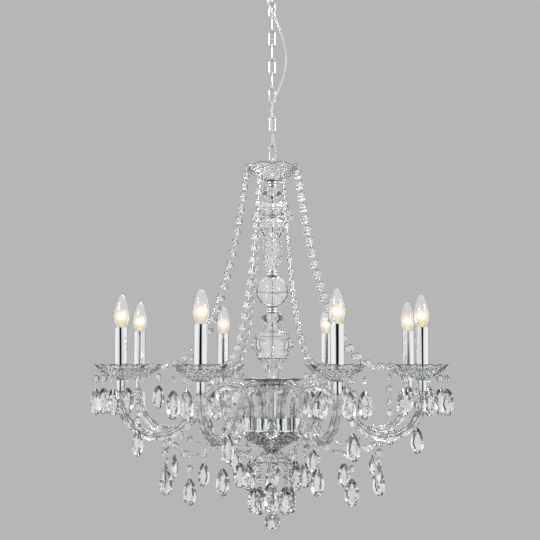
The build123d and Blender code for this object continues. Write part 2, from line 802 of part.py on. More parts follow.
def flame(wall):
    """The solid flame outline, drawn in by a wall thickness."""
    with BuildPart() as solid:
        with BuildSketch(Plane.XZ):
            with BuildLine():
                neck = bulb_neck_radius - wall
                belly = belly_radius - wall
                top_z = bulb_top_z - 1.5 * wall
                lower_mid = (neck + (belly - neck) * 0.72, bulb_neck_z + (bulb_belly_z - bulb_neck_z) * 0.5)
                upper_mid = (belly * 0.70, bulb_belly_z + (top_z - bulb_belly_z) * 0.60)
                Line((0, bulb_neck_z), (neck, bulb_neck_z))
                ThreePointArc((neck, bulb_neck_z), lower_mid, (belly, bulb_belly_z))
                ThreePointArc((belly, bulb_belly_z), upper_mid, (bulb_tip_radius, top_z))
                Polyline((bulb_tip_radius, top_z), (0, top_z), (0, bulb_neck_z))
            make_face()
        revolve(axis=Axis.Z)
    return solid.part


with BuildPart() as envelope:
    add(flame(0.0))
    add(flame(bulb_wall), mode=Mode.SUBTRACT)
with BuildPart() as bulb_cap:
    with BuildSketch(Plane.XY.offset(bulb_base_z)):
        Circle(bulb_cap_diameter / 2)
    extrude(amount=bulb_cap_length)
    chamfer(bulb_cap.edges().group_by(Axis.Z)[0], bulb_cap_chamfer)
with BuildPart() as filament_stem:
    with BuildSketch(Plane.XY.offset(bulb_neck_z)):
        Circle(filament_stem_radius)
    extrude(amount=filament_stem_height, taper=filament_stem_taper)
for number, place in enumerate(candle_places, 1):
    pieces = (envelope.part, bulb_cap.part, filament_stem.part)
    write_group([piece.moved(place) for piece in pieces], f"bulb_{number}")

# Cut beads and drops, flat faced, lying in the XZ plane
bead_half = bead_across / 2
with BuildPart() as bead:
    with BuildSketch(Plane.XZ):
        RegularPolygon(bead_half, 8, major_radius=False, rotation=22.5)
    extrude(amount=bead_thickness / 2, both=True)
    ends = bead.faces().sort_by(Axis.Y)
    chamfer(ends[0].edges() + ends[-1].edges(), bead_thickness / 2 - bead_girdle / 2, bead_bevel)


def cut_drop(length, width, thickness, outline):
    """A flat cut drop that hangs from z = 0, pointed above and round below."""
    half = width / 2
    right = [(half * across, -length * down) for across, down in outline]
    left = [(-x, z) for x, z in reversed(right)]
    slope = (thickness - drop_girdle) / 2
    with BuildPart() as drop:
        with BuildSketch(Plane.XZ):
            with BuildLine():
                Polyline((pin_diameter, 0), *right, (0, -length), *left, (-pin_diameter, 0), close=True)
            make_face()
        extrude(amount=drop_girdle / 2, both=True)
        faces = drop.faces().sort_by(Axis.Y)
        extrude(faces[0], amount=slope, taper=drop_taper)
        extrude(faces[-1], amount=slope, taper=drop_taper)
    return drop.part


teardrop = cut_drop(drop_length, drop_width, drop_thickness, drop_outline)
pear = cut_drop(pear_length, pear_width, pear_thickness, pear_outline)


strung = {}


def strung_bead(behind, ahead):
    """One bead on its pin along Z, with the pin standing out behind and ahead by whole tenths."""
    size = (floor(behind * 10) / 10, floor(ahead * 10) / 10)
    if size not in strung:
        with BuildPart() as unit:
            add(bead.part)
            with BuildSketch(Plane.XY.offset(-bead_half - size[0])):
                RegularPolygon(pin_diameter / 2, 6)
            extrude(amount=bead_across + size[0] + size[1])
        strung[size] = unit.part
    return strung[size]


def beaded(start, centres, end, roll=0.0, twist=bead_turn):
    """Beads along a line of centres, each turned by a twist, with the pin that reaches the next one."""
    stops = [start, *centres, end]
    beads = []
    for k, centre in enumerate(centres, 1):
        ahead = stops[k + 1] - centre
        last = k == len(centres)
        reach = ahead.length - bead_half - (hook_gap if last else bead_half + pin_gap)
        behind = (centre - start).length - bead_half - hook_gap if k == 1 else 0.0
        turned = Plane(centre, z_dir=ahead).location * Rotation(0, 0, roll + twist * k)
        beads.append(strung_bead(behind, reach).moved(turned))
    return beads


def pendant(hanger, bead_total, pitch, drop, drop_gap, face):
    """Beads over one drop, hung from the local origin straight down the Z axis."""
    centres = [Vector(0, 0, -hanger - bead_half - pitch * k) for k in range(bead_total)]
    drop_top = centres[-1] - Vector(0, 0, bead_half + drop_gap)
    beads = beaded(Vector(0, 0, 0), centres, drop_top, face)
    return [*beads, drop.moved(Location(drop_top, (0, 0, face)))]


def drop_face(place, k):
    """Turn of drop k in its place: all face the front, each a little differently from the next."""
    return drop_swing * (((k * 5) % 8) / 3.5 - 1.0) - place.orientation.Z


trim_beads, trim_drops, rings = [], [], []


def hang(places, hanger, bead_total, pitch, drop, drop_gap):
    """Hangs one pendant at each place and keeps its pieces with the fixed trim."""
    for k, place in enumerate(places):
        *beads, crystal = pendant(hanger, bead_total, pitch, drop, drop_gap, drop_face(place, k))
        trim_beads.extend(piece.moved(place) for piece in beads)
        trim_drops.append(crystal.moved(place))


# Long strands from the crown's lobes to the near lobe of each bobeche, hanging as catenaries
strand_top_radius = crown_radius - crown_hook_inset
crown_hook_z = under_dish(crown_radius, crown_depth, crown_foot, glass_wall, strand_top_radius)
strand_top_z = crown_bottom_z + crown_hook_z
strand_end_radius = candle_circle - bobeche_radius - swing_gap
strand_end_z = bobeche_rim_z - bobeche_wall / 2
strand_length = strand_beads * strand_pitch
strand_span = strand_end_radius - strand_top_radius
strand_rise = strand_top_z - strand_end_z
slack = sqrt(strand_length**2 - strand_rise**2) / strand_span
low, high = 1e-3, 20.0
for _ in range(60):
    middle = (low + high) / 2
    low, high = (middle, high) if sinh(middle) / middle < slack else (low, middle)
half_span = (low + high) / 2
curve = strand_span / (2 * half_span)
sag_at = strand_span / 2 - curve * asinh(strand_rise / (2 * curve * sinh(half_span)))


def strand_point(length):
    """Point in the XZ plane at one length along the strand, from the bobeche up."""
    across = sag_at + curve * asinh(length / curve - sinh(sag_at / curve))
    rise = curve * (cosh((across - sag_at) / curve) - cosh(sag_at / curve))
    return Vector(strand_end_radius - across, 0, strand_end_z + rise)


strand_centres = [strand_point(strand_pitch * (k + 0.5)) for k in range(strand_beads)]
strand_top = Vector(strand_top_radius, 0, strand_top_z)
arm_turns = around(arm_count, 0.0, arm_first_angle)
strands = []
for turn, roll in zip(arm_turns, strand_rolls):
    one_strand = beaded(strand_point(0.0), strand_centres, strand_top, roll, 0.0)
    strands.extend(piece.moved(turn) for piece in one_strand)
write_group(strands, "strand_beads")

# Pendants round each bobeche: four short ones and one long tail, clear of the arm below
bobeche_hook_radius = bobeche_radius - bobeche_hook_inset
bobeche_hook_z = under_dish(bobeche_radius, bobeche_depth, bobeche_foot, bobeche_wall, bobeche_hook_radius)
for seat in candle_places:
    holes = [seat * hole for hole in around(6, bobeche_hook_radius, 0.0, cup_top_z + bobeche_hook_z)]
    hang([holes[0], holes[1], holes[4], holes[5]], bobeche_hanger, 1, tail_pitch, teardrop, drop_pin)
    hang([holes[2]], bobeche_hanger, tail_beads, tail_pitch, teardrop, drop_pin)

# Wire rings round each arm, at the top of the arch and near the bottom of the U
ring_radius = arm_diameter / 2 + hanger_ring_clearance + hanger_ring_wire / 2
with BuildPart() as hanger_ring:
    with Locations(Location((0, 0, 0), (0, 90, 0))):
        Torus(ring_radius, hanger_ring_wire / 2)
arch_ring_radius = arch_centre[0]
arch_ring_z = arch_centre[1] + arch_radius
u_ring_lean = degrees(asin((u_centre[0] - u_ring_circle) / u_radius))
u_ring_z = u_centre[1] - u_radius * cos(radians(u_ring_lean))
for turn in arm_turns:
    rings.append(hanger_ring.part.moved(turn * Location((arch_ring_radius, 0, arch_ring_z))))
    leaning = Location((u_ring_circle, 0, u_ring_z), (0, u_ring_lean, 0))
    rings.append(hanger_ring.part.moved(turn * leaning))

# Bead swags between neighbouring arms, at the arches and at the Us, each with a pendant at its middle
with BuildPart() as jump_ring:
    Sphere(jump_ring_diameter / 2)
gap_turns = around(arm_count, 0.0)


def swag(circle, ring_z, low_circle, low_z, bead_total, place):
    """Two short strings from the rings of neighbouring arms down to a jump ring between them."""
    half_gap = radians(180.0 / arm_count)
    junction = Vector(low_circle, 0, low_z)
    for side in (1, -1):
        outward = Vector(circle * cos(half_gap), side * circle * sin(half_gap), ring_z)
        inward = Vector(sin(half_gap), -side * cos(half_gap), -1.0).normalized()
        start = outward + inward * (ring_radius + hanger_ring_wire / 2)
        toward = (junction - start).normalized()
        end = junction - toward * (jump_ring_diameter / 2)
        step = (end - start) * (1.0 / bead_total)
        centres = [start + step * (k + 0.5) for k in range(bead_total)]
        trim_beads.extend(piece.moved(place) for piece in beaded(start, centres, end, bead_turn * side))
    rings.append(jump_ring.part.moved(place * Location(junction)))


arch_low_circle = arch_ring_radius * cos(radians(180.0 / arm_count))
arch_low_z = arch_ring_z - arch_swag_sag
u_low_circle = u_ring_circle * cos(radians(180.0 / arm_count)) + u_swag_outset
u_low_z = u_ring_z - u_swag_sag
for turn in gap_turns:
    swag(arch_ring_radius, arch_ring_z, arch_low_circle, arch_low_z, arch_swag_beads, turn)
    swag(u_ring_circle, u_ring_z, u_low_circle, u_low_z, u_swag_beads, turn)
arch_hooks = around(arm_count, arch_low_circle, 0.0, arch_low_z - jump_ring_diameter / 2)
hang(arch_hooks, arch_hanger, 1, pendant_pitch, pear, pear_pin)
u_hooks = around(arm_count, u_low_circle, 0.0, u_low_z - jump_ring_diameter / 2)
hang(u_hooks, u_hanger, 1, pendant_pitch, teardrop, drop_pin)

# Pendants under the bowl's rim and the finial dish's rim
bowl_hook_radius = bowl_radius - bowl_hook_inset
bowl_hook_z = bowl_apex_z + under_dish(bowl_radius, bowl_depth, bowl_foot, glass_wall, bowl_hook_radius)
hang(around(arm_count, bowl_hook_radius, 0.0, bowl_hook_z), bowl_hanger, 2, pendant_pitch, teardrop, drop_pin)
finial_hook_radius = finial_radius - finial_hook_inset
finial_hook_z = finial_top_z - over_dish(
    finial_radius, finial_depth, finial_foot, glass_wall, finial_hook_radius
)
finial_hooks = around(finial_lobes, finial_hook_radius, 0.0, finial_hook_z)
hang(finial_hooks, finial_hanger, 2, pendant_pitch, teardrop, drop_pin)

write_group(trim_beads, "trim_beads")
write_group(trim_drops, "trim_drops")
write_group(rings, "hanger_rings")

# Pendants that swing under each arm, hung from the U's wire ring
ring_bottom_z = u_ring_z - ring_radius - hanger_ring_wire / 2 - swing_gap
for number, turn in enumerate(arm_turns, 1):
    pieces = pendant(arm_hanger, 1, pendant_pitch, teardrop, drop_pin, 90.0)
    hook = turn * Location((u_ring_circle + ring_radius * sin(radians(-u_ring_lean)), 0, ring_bottom_z))
    write_group([piece.moved(hook) for piece in pieces], f"arm_pendant_{number}")

# Last pendant: beads and a cut ball hung from the loop under the column
ball_loop_z = nut_loop_z - nut_loop_radius - nut_loop_wire / 2 - swing_gap
first_bead_z = ball_loop_z - finial_hanger - bead_half
ball_centres = [Vector(0, 0, first_bead_z - pendant_pitch * k) for k in range(ball_beads)]
pendant_ball_top = ball_centres[-1] - Vector(0, 0, bead_half + ball_pin)
ball_string = beaded(Vector(0, 0, ball_loop_z), ball_centres, pendant_ball_top)
ball_steps = 6
cut_ball_radius = pendant_ball_diameter / 2
with BuildPart() as cut_ball:
    with BuildSketch(Plane.XZ):
        with BuildLine():
            angles = [180.0 * k / ball_steps for k in range(1, ball_steps)]
            rims = [
                (cut_ball_radius * sin(radians(a)), cut_ball_radius * (cos(radians(a)) - 1.0)) for a in angles
            ]
            top_flat = (0, -cut_ball_radius * (1.0 - cos(radians(180.0 / ball_steps))))
            foot = (0, -cut_ball_radius * (1.0 + cos(radians(180.0 / ball_steps))))
            Polyline(top_flat, *rims, foot, close=True)
        make_face()
    revolve(axis=Axis.Z)
cut_ball_lift = cut_ball_radius * (1.0 - cos(radians(180.0 / ball_steps)))
cut_ball_place = Location(pendant_ball_top + Vector(0, 0, cut_ball_lift))
write_group([*ball_string, cut_ball.part.moved(cut_ball_place)], "finial_pendant")

levels = {
    "bobeche rim": bobeche_rim_z,
    "eye bar": eye_bar_z,
    "first link bar": chain_top_z + swing_gap - link_pitch - link_wire / 2,
    "plate top": plate_top_z,
    "u ring bottom bar": u_ring_z - ring_radius * cos(radians(u_ring_lean)),
    "u ring bottom circle": u_ring_circle - ring_radius * sin(radians(u_ring_lean)),
    "loop bar": nut_loop_z - nut_loop_radius,
    "ball bottom": pendant_ball_top.Z + cut_ball_lift - pendant_ball_diameter,
    "bulb base": bulb_base_z,
}
print({name: round(level, 2) for name, level in levels.items()})
print("beads", len(trim_beads) + arm_count * strand_beads, "drops", len(trim_drops), "rings", len(rings))
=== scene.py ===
# %% [markdown]
# An eight-arm candle chandelier in clear glass and chrome.
# The solids come from the frame, and this lesson dresses them: twisted glass arms, cut dishes,
# fluted vases, faceted drops, chrome candle tubes and lit lamps, one step at a time.

from math import acos, asin, atan2, cos, hypot, pi, radians, sin, tau

import bmesh
import bpy
import numpy as np
from mathutils import Euler, Matrix, Vector


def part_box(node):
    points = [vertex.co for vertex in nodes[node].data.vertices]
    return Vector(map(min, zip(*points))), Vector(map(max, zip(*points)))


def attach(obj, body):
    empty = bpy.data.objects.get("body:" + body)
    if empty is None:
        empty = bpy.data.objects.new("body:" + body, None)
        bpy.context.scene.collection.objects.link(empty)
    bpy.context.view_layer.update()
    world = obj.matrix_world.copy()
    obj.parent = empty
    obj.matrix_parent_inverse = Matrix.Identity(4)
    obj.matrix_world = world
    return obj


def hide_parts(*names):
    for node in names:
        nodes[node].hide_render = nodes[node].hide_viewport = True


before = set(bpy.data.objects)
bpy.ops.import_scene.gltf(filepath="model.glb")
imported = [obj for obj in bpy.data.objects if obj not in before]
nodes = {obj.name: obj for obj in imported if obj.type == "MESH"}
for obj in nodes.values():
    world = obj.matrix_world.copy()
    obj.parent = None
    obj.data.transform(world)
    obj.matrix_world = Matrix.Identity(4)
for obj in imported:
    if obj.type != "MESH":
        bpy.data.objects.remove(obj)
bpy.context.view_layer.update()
MM = 0.001
ARMS = 8
FIRST_ARM = 22.5
FIXTURE = "fixture"
scene = bpy.context.scene


def add_object(name, data):
    """A new object in the scene."""
    thing = bpy.data.objects.new(name, data)
    scene.collection.objects.link(thing)
    return thing


# %% [markdown]
# The camera stands a little over two metres away at the height of the drip dishes and looks slightly up.
# A long lens keeps the near and far candles almost the same size, and its pitch does the framing, so the
# lens needs no shift.

# %% Camera
EYE_LEVEL = -0.900
EYE_DISTANCE = 2.215
EYE_AZIMUTH = radians(1.17)
LOOK_ASIDE = radians(0.128)
LOOK_UP = radians(5.22)
LENS = 68.53

camera = add_object("camera", bpy.data.cameras.new("camera"))
camera.data.lens = LENS
camera.data.sensor_width = 36.0
camera.location = (EYE_DISTANCE * sin(EYE_AZIMUTH), -EYE_DISTANCE * cos(EYE_AZIMUTH), EYE_LEVEL)
camera.rotation_euler = (radians(90) + LOOK_UP, 0, EYE_AZIMUTH + LOOK_ASIDE)
scene.camera = camera
print("camera", [round(v, 3) for v in camera.location])

# %% [markdown]
# A material is a small graph of nodes. One function adds a node with its settings and its links, and one
# turns the hex colours that people read into the linear values that the renderer needs. The short ones after
# them add the nodes that the materials share: a noise, a range, a bump and a ramp of tones.

# %% Colours and nodes
def hex_colour(text):
    """sRGB hex text to a linear RGBA colour."""
    channels = [int(text[i : i + 2], 16) / 255 for i in (1, 3, 5)]
    linear = [c / 12.92 if c <= 0.04045 else ((c + 0.055) / 1.055) ** 2.4 for c in channels]
    return (*linear, 1.0)


def add_node(tree, kind, settings=(), links=()):
    """Adds one node, sets its properties and sockets, and links sockets from other nodes."""
    node = tree.nodes.new(kind)
    for key, value in dict(settings).items():
        if isinstance(key, str) and hasattr(node, key):
            setattr(node, key, value)
        else:
            node.inputs[key].default_value = value
    for key, output in dict(links).items():
        tree.links.new(output, node.inputs[key])
    return node


def calc(tree, operation, *values):
    """One sum on numbers or sockets."""
    settings, links = {"operation": operation}, {}
    for k, value in enumerate(values):
        (settings if isinstance(value, float) else links)[k] = value
    return add_node(tree, "ShaderNodeMath", settings, links).outputs[0]


def noise(tree, size_mm, detail):
    """A noise fixed to the object, with patches about size_mm wide."""
    where = add_node(tree, "ShaderNodeTexCoord")
    settings = {"Scale": 1 / (size_mm * MM), "Detail": detail}
    return add_node(tree, "ShaderNodeTexNoise", settings, {"Vector": where.outputs["Object"]}).outputs["Fac"]


def spread(tree, value, low, high, start=0.0, end=1.0):
    """A value between start and end, moved to lie between low and high."""
    settings = {"From Min": start, "From Max": end, "To Min": low, "To Max": high}
    return add_node(tree, "ShaderNodeMapRange", settings, {"Value": value}).outputs["Result"]


def bump(tree, height, strength, depth_mm):
    """A surface normal tilted by a field of heights."""
    settings = {"Strength": strength, "Distance": depth_mm * MM}
    return add_node(tree, "ShaderNodeBump", settings, {"Height": height}).outputs["Normal"]


def tone_ramp(tree, value, stops):
    """A ramp through stops of (position, colour)."""
    ramp = add_node(tree, "ShaderNodeValToRGB", (), {"Fac": value})
    elements = ramp.color_ramp.elements
    while len(elements) < len(stops):
        elements.new(0.5)
    for element, (spot, colour) in zip(elements, stops):
        element.position = spot
        element.color = colour
    return ramp.outputs


def new_material(name):
    """An empty node material."""
    material = bpy.data.materials.new(name)
    material.use_nodes = True
    material.node_tree.nodes.clear()
    return material, material.node_tree


def end_shader(tree, shader, kind="ShaderNodeOutputMaterial"):
    """Ends a material, or a world, with its shader."""
    add_node(tree, kind, (), {"Surface": shader.outputs[0]})


def principled(tree, settings, links):
    """Ends a material with the usual surface shader."""
    end_shader(tree, add_node(tree, "ShaderNodeBsdfPrincipled", settings, links))


print("middle grey is", round(hex_colour("#808080")[0], 3), "in linear light")

# %% [markdown]
# Chrome plate is a mirror with a faint cool tint. Real plating is never perfectly even: polishing leaves a
# slow ripple and handling leaves a slight haze, so a noise a few centimetres wide tilts the surface a little
# and another one varies its roughness.

# %% Chrome and steel
HAZE_MM = 6


def plated_metal(name, colour, rough_low, rough_high, ripple_mm, ripple_depth):
    """A polished or brushed plated metal."""
    material, tree = new_material(name)
    rough = spread(tree, noise(tree, HAZE_MM, 3.0), rough_low, rough_high)
    normal = bump(tree, noise(tree, ripple_mm, 1.0), 0.15, ripple_depth)
    settings = {"Base Color": hex_colour(colour), "Metallic": 1.0}
    principled(tree, settings, {"Roughness": rough, "Normal": normal})
    return material


chrome = plated_metal("polished_chrome_plate", "#E9EBED", 0.03, 0.07, 30.0, 0.05)
zinc = plated_metal("zinc_plated_steel", "#B4B6B8", 0.25, 0.4, 4.0, 0.05)
print("metals", chrome.name, zinc.name)

# %% [markdown]
# The arms, dishes and vases are clear pressed glass. Light goes straight through it, bent by its index, and
# the moulded surface keeps a slow waviness of a few tenths of a millimetre. The thin glass of the column and
# the dishes has a lower index here, so it bends light less and stays paler. The bowl at the bottom is
# silvered. The drops are cut and polished flat, and their higher index gives stronger black and white facets.
# The small beads are pressed and a little dull.

# %% Clear glass and crystal
GLASS_HAZE_MM = 5


def clear_glass(name, tint, index, wave_mm, wave_depth, rough_high, clarity, silvering=0.0):
    """Clear glass or crystal with a slow surface wave and a trace of handling haze."""
    material, tree = new_material(name)
    normal = bump(tree, noise(tree, wave_mm, 1.5), 0.35, wave_depth)
    rough = spread(tree, noise(tree, GLASS_HAZE_MM, 2.0), 0.0, rough_high)
    settings = {"Base Color": hex_colour(tint), "IOR": index, "Metallic": silvering}
    settings["Transmission Weight"] = clarity
    principled(tree, settings, {"Roughness": rough, "Normal": normal})
    return material


pressed_glass = clear_glass("clear_pressed_glass", "#FDFEFE", 1.5, 9.0, 0.35, 0.03, 0.97)
column_clear = clear_glass("clear_column_glass", "#FCFDFD", 1.36, 12.0, 0.2, 0.03, 0.96)
dish_clear = clear_glass("clear_dish_glass", "#FCFDFD", 1.41, 9.0, 0.3, 0.02, 0.97)
hammered_glass = clear_glass("silvered_hammered_glass", "#E8EAEB", 1.5, 9.0, 0.3, 0.05, 1.0, 0.55)
cut_crystal = clear_glass("cut_crystal", "#FFFFFF", 1.58, 14.0, 0.05, 0.015, 0.98)
bead_glass = clear_glass("pressed_bead_glass", "#FFFFFF", 1.52, 14.0, 0.05, 0.22, 0.98)
lamp_glass = clear_glass("blown_lamp_glass", "#FFFFFF", 1.45, 16.0, 0.08, 0.02, 0.98)
print("glass", pressed_glass.name, column_clear.name, dish_clear.name, hammered_glass.name, lamp_glass.name)
print("crystal", cut_crystal.name, bead_glass.name)

# %% [markdown]
# The flex is a clear PVC sheath over silvery cores, so it reads as a pale translucent line. The lamp holders
# and the terminal block are moulded white plastic. All of them get a fine mottling rather than one flat tone.

# %% Plastics
PLASTIC_INDEX = 1.48


def moulded_plastic(name, low, high, rough, clear, grain_mm):
    """A plastic whose tone drifts slightly between two colours."""
    material, tree = new_material(name)
    grain = noise(tree, grain_mm, 4.0)
    tone = tone_ramp(tree, grain, [(0.0, hex_colour(low)), (1.0, hex_colour(high))])
    settings = {"Roughness": rough, "Transmission Weight": clear, "IOR": PLASTIC_INDEX}
    principled(tree, settings, {"Base Color": tone["Color"], "Normal": bump(tree, grain, 0.1, 0.1)})
    return material


clear_pvc = moulded_plastic("clear_pvc_sheath", "#D4D5D3", "#F0F0EE", 0.22, 0.35, 3.0)
white_plastic = moulded_plastic("white_moulded_plastic", "#DCDBD6", "#EFEEEA", 0.45, 0.0, 2.0)
silver_lead = moulded_plastic("silvery_lead_sheath", "#C9CBCB", "#E6E8E8", 0.3, 0.2, 2.0)
print("plastics", clear_pvc.name, white_plastic.name, silver_lead.name)

# %% [markdown]
# The flex is a free cord. It leaves the flange on top of the column, bulges out beside the chain and goes up
# into the canopy, where the terminal block ends it. One smooth spline follows the route's points.

# %% Flex
FLEX_DIAMETER = 5.0 * MM
FLEX_ROUTE = [
    (9.0, -4.5, -497.5), (9.0, -4.5, -469.5), (8.0, -10.0, -438.0), (1.0, -14.0, -403.0),
    (-3.5, -14.5, -365.0), (3.0, -14.0, -329.0), (17.0, -9.0, -297.0), (29.0, -4.0, -260.0),
    (31.5, -3.0, -220.0), (22.0, -7.0, -180.0), (7.5, -14.0, -145.0), (-8.0, -14.0, -110.0),
    (-19.5, -9.0, -78.0), (-26.0, -0.5, -52.0), (-27.0, 0.0, -38.0),
]
flex_curve = bpy.data.curves.new("flex_cord", "CURVE")
flex_curve.dimensions = "3D"
flex_curve.bevel_depth = FLEX_DIAMETER / 2
flex_curve.bevel_resolution = 3
flex_curve.use_fill_caps = True
flex_spline = flex_curve.splines.new("NURBS")
flex_spline.points.add(len(FLEX_ROUTE) - 1)
for point, place in zip(flex_spline.points, FLEX_ROUTE):
    point.co = (*[v * MM for v in place], 1.0)
flex_spline.order_u = 3
flex_spline.use_endpoint_u = True
flex_curve.materials.append(clear_pvc)
flex_cord = add_object("flex_cord", flex_curve)
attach(flex_cord, FIXTURE)
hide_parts("flex")
print("flex points", len(FLEX_ROUTE))

# %% [markdown]
# The CAD solids arrive as loose triangles, which show as small flats in a mirror finish. A polished copy is
# welded, shaded smooth and kept sharp only at real corners.

# %% Polished copies of the solids
WELD = 0.002 * MM


def place_piece(name, mesh, replaced=(), material=None, body=FIXTURE):
    """Links a finished mesh as a piece that rides on a body and stands for some solids."""
    piece = add_object(name, mesh)
    if material is not None:
        mesh.materials.clear()
        mesh.materials.append(material)
    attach(piece, body)
    if replaced:
        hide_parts(*replaced)
    return piece


def smooth_but_corners(mesh, corner):
    """Smooth shading with sharp edges where two faces meet at more than the corner angle."""
    mesh.shade_smooth()
    mesh.set_sharp_from_angle(angle=radians(corner))


def plain_mesh(name, shape):
    """A mesh from an editable shape, which is freed."""
    mesh = bpy.data.meshes.new(name)
    shape.to_mesh(mesh)
    shape.free()
    return mesh


def polished(node, material, body=FIXTURE):
    """A welded, smoothly shaded copy of one solid."""
    copy = bmesh.new()
    copy.from_mesh(nodes[node].data)
    bmesh.ops.remove_doubles(copy, verts=copy.verts, dist=WELD)
    mesh = plain_mesh(f"{node}_polished", copy)
    smooth_but_corners(mesh, 30.0)
    place_piece(f"{node}_polished", mesh, [node], material, body)


for node in ("ceiling_eye", "ceiling_nuts", "canopy"):
    polished(node, chrome, "ceiling")
polished("ceiling_strap", zinc, "ceiling")
polished("chain_top_link", chrome, "top_link")
CHROME_NODES = [
    "chain_links", "column_eye", "collars", "arm_plate", "ferrules", "candle_cups", "candle_tubes",
    "column_rod", "rod_nut", "hanger_rings",
]
for node in CHROME_NODES:
    polished(node, chrome)
polished("nipples", zinc)
polished("lampholders", white_plastic)
polished("leads", silver_lead)
nodes["terminal_block"].data.materials.clear()
nodes["terminal_block"].data.materials.append(white_plastic)

# %% [markdown]
# Beads and drops are read back from the frame, so the looks follow the solids. Each solid of a node is one
# island of its mesh, and its middle, its axis and its facing come from the island's own corners.

# %% Islands of a node
def islands(node):
    """The separate solids of one node: corner points of each, with their centre of volume."""
    mesh = nodes[node].data
    mesh.calc_loop_triangles()
    points = np.empty(len(mesh.vertices) * 3)
    mesh.vertices.foreach_get("co", points)
    points = points.reshape(-1, 3)
    corners = np.empty(len(mesh.loop_triangles) * 3, dtype=np.int32)
    mesh.loop_triangles.foreach_get("vertices", corners)
    welded, index = np.unique(np.round(points, 6), axis=0, return_inverse=True)
    corners = index.reshape(-1)[corners].reshape(-1, 3)
    leader = list(range(len(welded)))

    def head(k):
        while leader[k] != k:
            leader[k] = leader[leader[k]]
            k = leader[k]
        return k

    for a, b, c in corners.tolist():
        leader[head(a)] = head(b)
        leader[head(b)] = head(c)
    groups = {}
    for triangle in corners.tolist():
        groups.setdefault(head(triangle[0]), []).append(triangle)
    found = []
    for triangles in groups.values():
        p = welded[np.array(triangles)]
        volumes = np.einsum("ij,ij->i", p[:, 0], np.cross(p[:, 1], p[:, 2]))
        centre = (p.sum(axis=1) / 4 * volumes[:, None]).sum(axis=0) / volumes.sum()
        found.append((np.unique(p.reshape(-1, 3), axis=0), centre))
    return found


strand_islands = islands("strand_beads")
trim_islands = islands("trim_beads")
drop_islands = islands("trim_drops")
print("islands", len(strand_islands), len(trim_islands), len(drop_islands))

# %% [markdown]
# The same crystal shape repeats dozens of times, so a Geometry Nodes tree puts one master on a cloud of
# points. Each point carries the turn of its copy. Realizing the instances and setting the material ends the
# tree, and the result is kept as a plain mesh.

# %% Scattering a master on points
def points_mesh(name, places):
    """A mesh of bare points, each with the turn of the copy that goes there."""
    mesh = bpy.data.meshes.new(name)
    mesh.from_pydata([tuple(spot) for spot, _ in places], [], [])
    turns = mesh.attributes.new("turn", "FLOAT_VECTOR", "POINT")
    for value, (_, turn) in zip(turns.data, places):
        value.vector = tuple(turn)
    return mesh


def new_tree(name, inputs):
    """A geometry tree with named inputs: the tree, its two ends and the identifier of each input."""
    tree = bpy.data.node_groups.new(name, "GeometryNodeTree")
    for way in ("INPUT", "OUTPUT"):
        tree.interface.new_socket("Geometry", in_out=way, socket_type="NodeSocketGeometry")
    keys = {}
    for label, kind in inputs.items():
        socket = tree.interface.new_socket(label, in_out="INPUT", socket_type=f"NodeSocket{kind}")
        keys[label] = socket.identifier
    return tree, add_node(tree, "NodeGroupInput").outputs, add_node(tree, "NodeGroupOutput"), keys


def put_copies(tree, points, master):
    """Copies a master to every point, turned as the point says."""
    settings = {"data_type": "FLOAT_VECTOR", "Name": "turn"}
    angles = add_node(tree, "GeometryNodeInputNamedAttribute", settings).outputs["Attribute"]
    turn = add_node(tree, "FunctionNodeEulerToRotation", (), {0: angles})
    links = {"Points": points, "Instance": master, "Rotation": turn.outputs[0]}
    return add_node(tree, "GeometryNodeInstanceOnPoints", (), links).outputs["Instances"]


def end_tree(tree, geometry, finish, group_out):
    """Makes copies real, sets their material and ends the tree."""
    whole = add_node(tree, "GeometryNodeRealizeInstances", (), {"Geometry": geometry})
    links = {"Geometry": whole.outputs["Geometry"], "Material": finish}
    painted = add_node(tree, "GeometryNodeSetMaterial", (), links)
    tree.links.new(painted.outputs["Geometry"], group_out.inputs["Geometry"])


def grow(name, base_mesh, tree, keys, values):
    """Runs a tree on a base mesh, with its inputs set by identifier, and returns a plain mesh."""
    carrier = add_object(f"{name}_carrier", base_mesh)
    modifier = carrier.modifiers.new("grow", "NODES")
    modifier.node_group = tree
    for label, value in values.items():
        modifier[keys[label]] = value
    bpy.context.view_layer.update()
    evaluated = carrier.evaluated_get(bpy.context.evaluated_depsgraph_get())
    mesh = bpy.data.meshes.new_from_object(evaluated)
    mesh.name = name
    bpy.data.objects.remove(carrier)
    return mesh


scatter_inputs = {"Master": "Object", "Finish": "Material"}
scatter_tree, scatter_in, scatter_out, scatter_keys = new_tree("scatter_copies", scatter_inputs)
master_info = add_node(scatter_tree, "GeometryNodeObjectInfo", (), {"Object": scatter_in["Master"]})
copies = put_copies(scatter_tree, scatter_in["Geometry"], master_info.outputs["Geometry"])
end_tree(scatter_tree, copies, scatter_in["Finish"], scatter_out)


def scatter(name, master_mesh, places, material, replaced=(), body=FIXTURE):
    """One piece of plain mesh: a master copied to every place."""
    master = add_object(f"{name}_master", master_mesh)
    values = {"Master": master, "Finish": material}
    mesh = grow(name, points_mesh(f"{name}_points", places), scatter_tree, scatter_keys, values)
    bpy.data.objects.remove(master)
    return place_piece(name, mesh, replaced, None, body)


print("tree", scatter_tree.name, len(scatter_tree.nodes), "nodes")

# %% [markdown]
# A crystal drop is a flat almond. Its girdle is a ring of corners, one face rises to a flat table and the
# other to a star of small facets. The convex hull of those corners gives exactly the flat facets of a cut
# stone. The ball at the bottom is cut the same way, in rows, and runs up into a short neck.

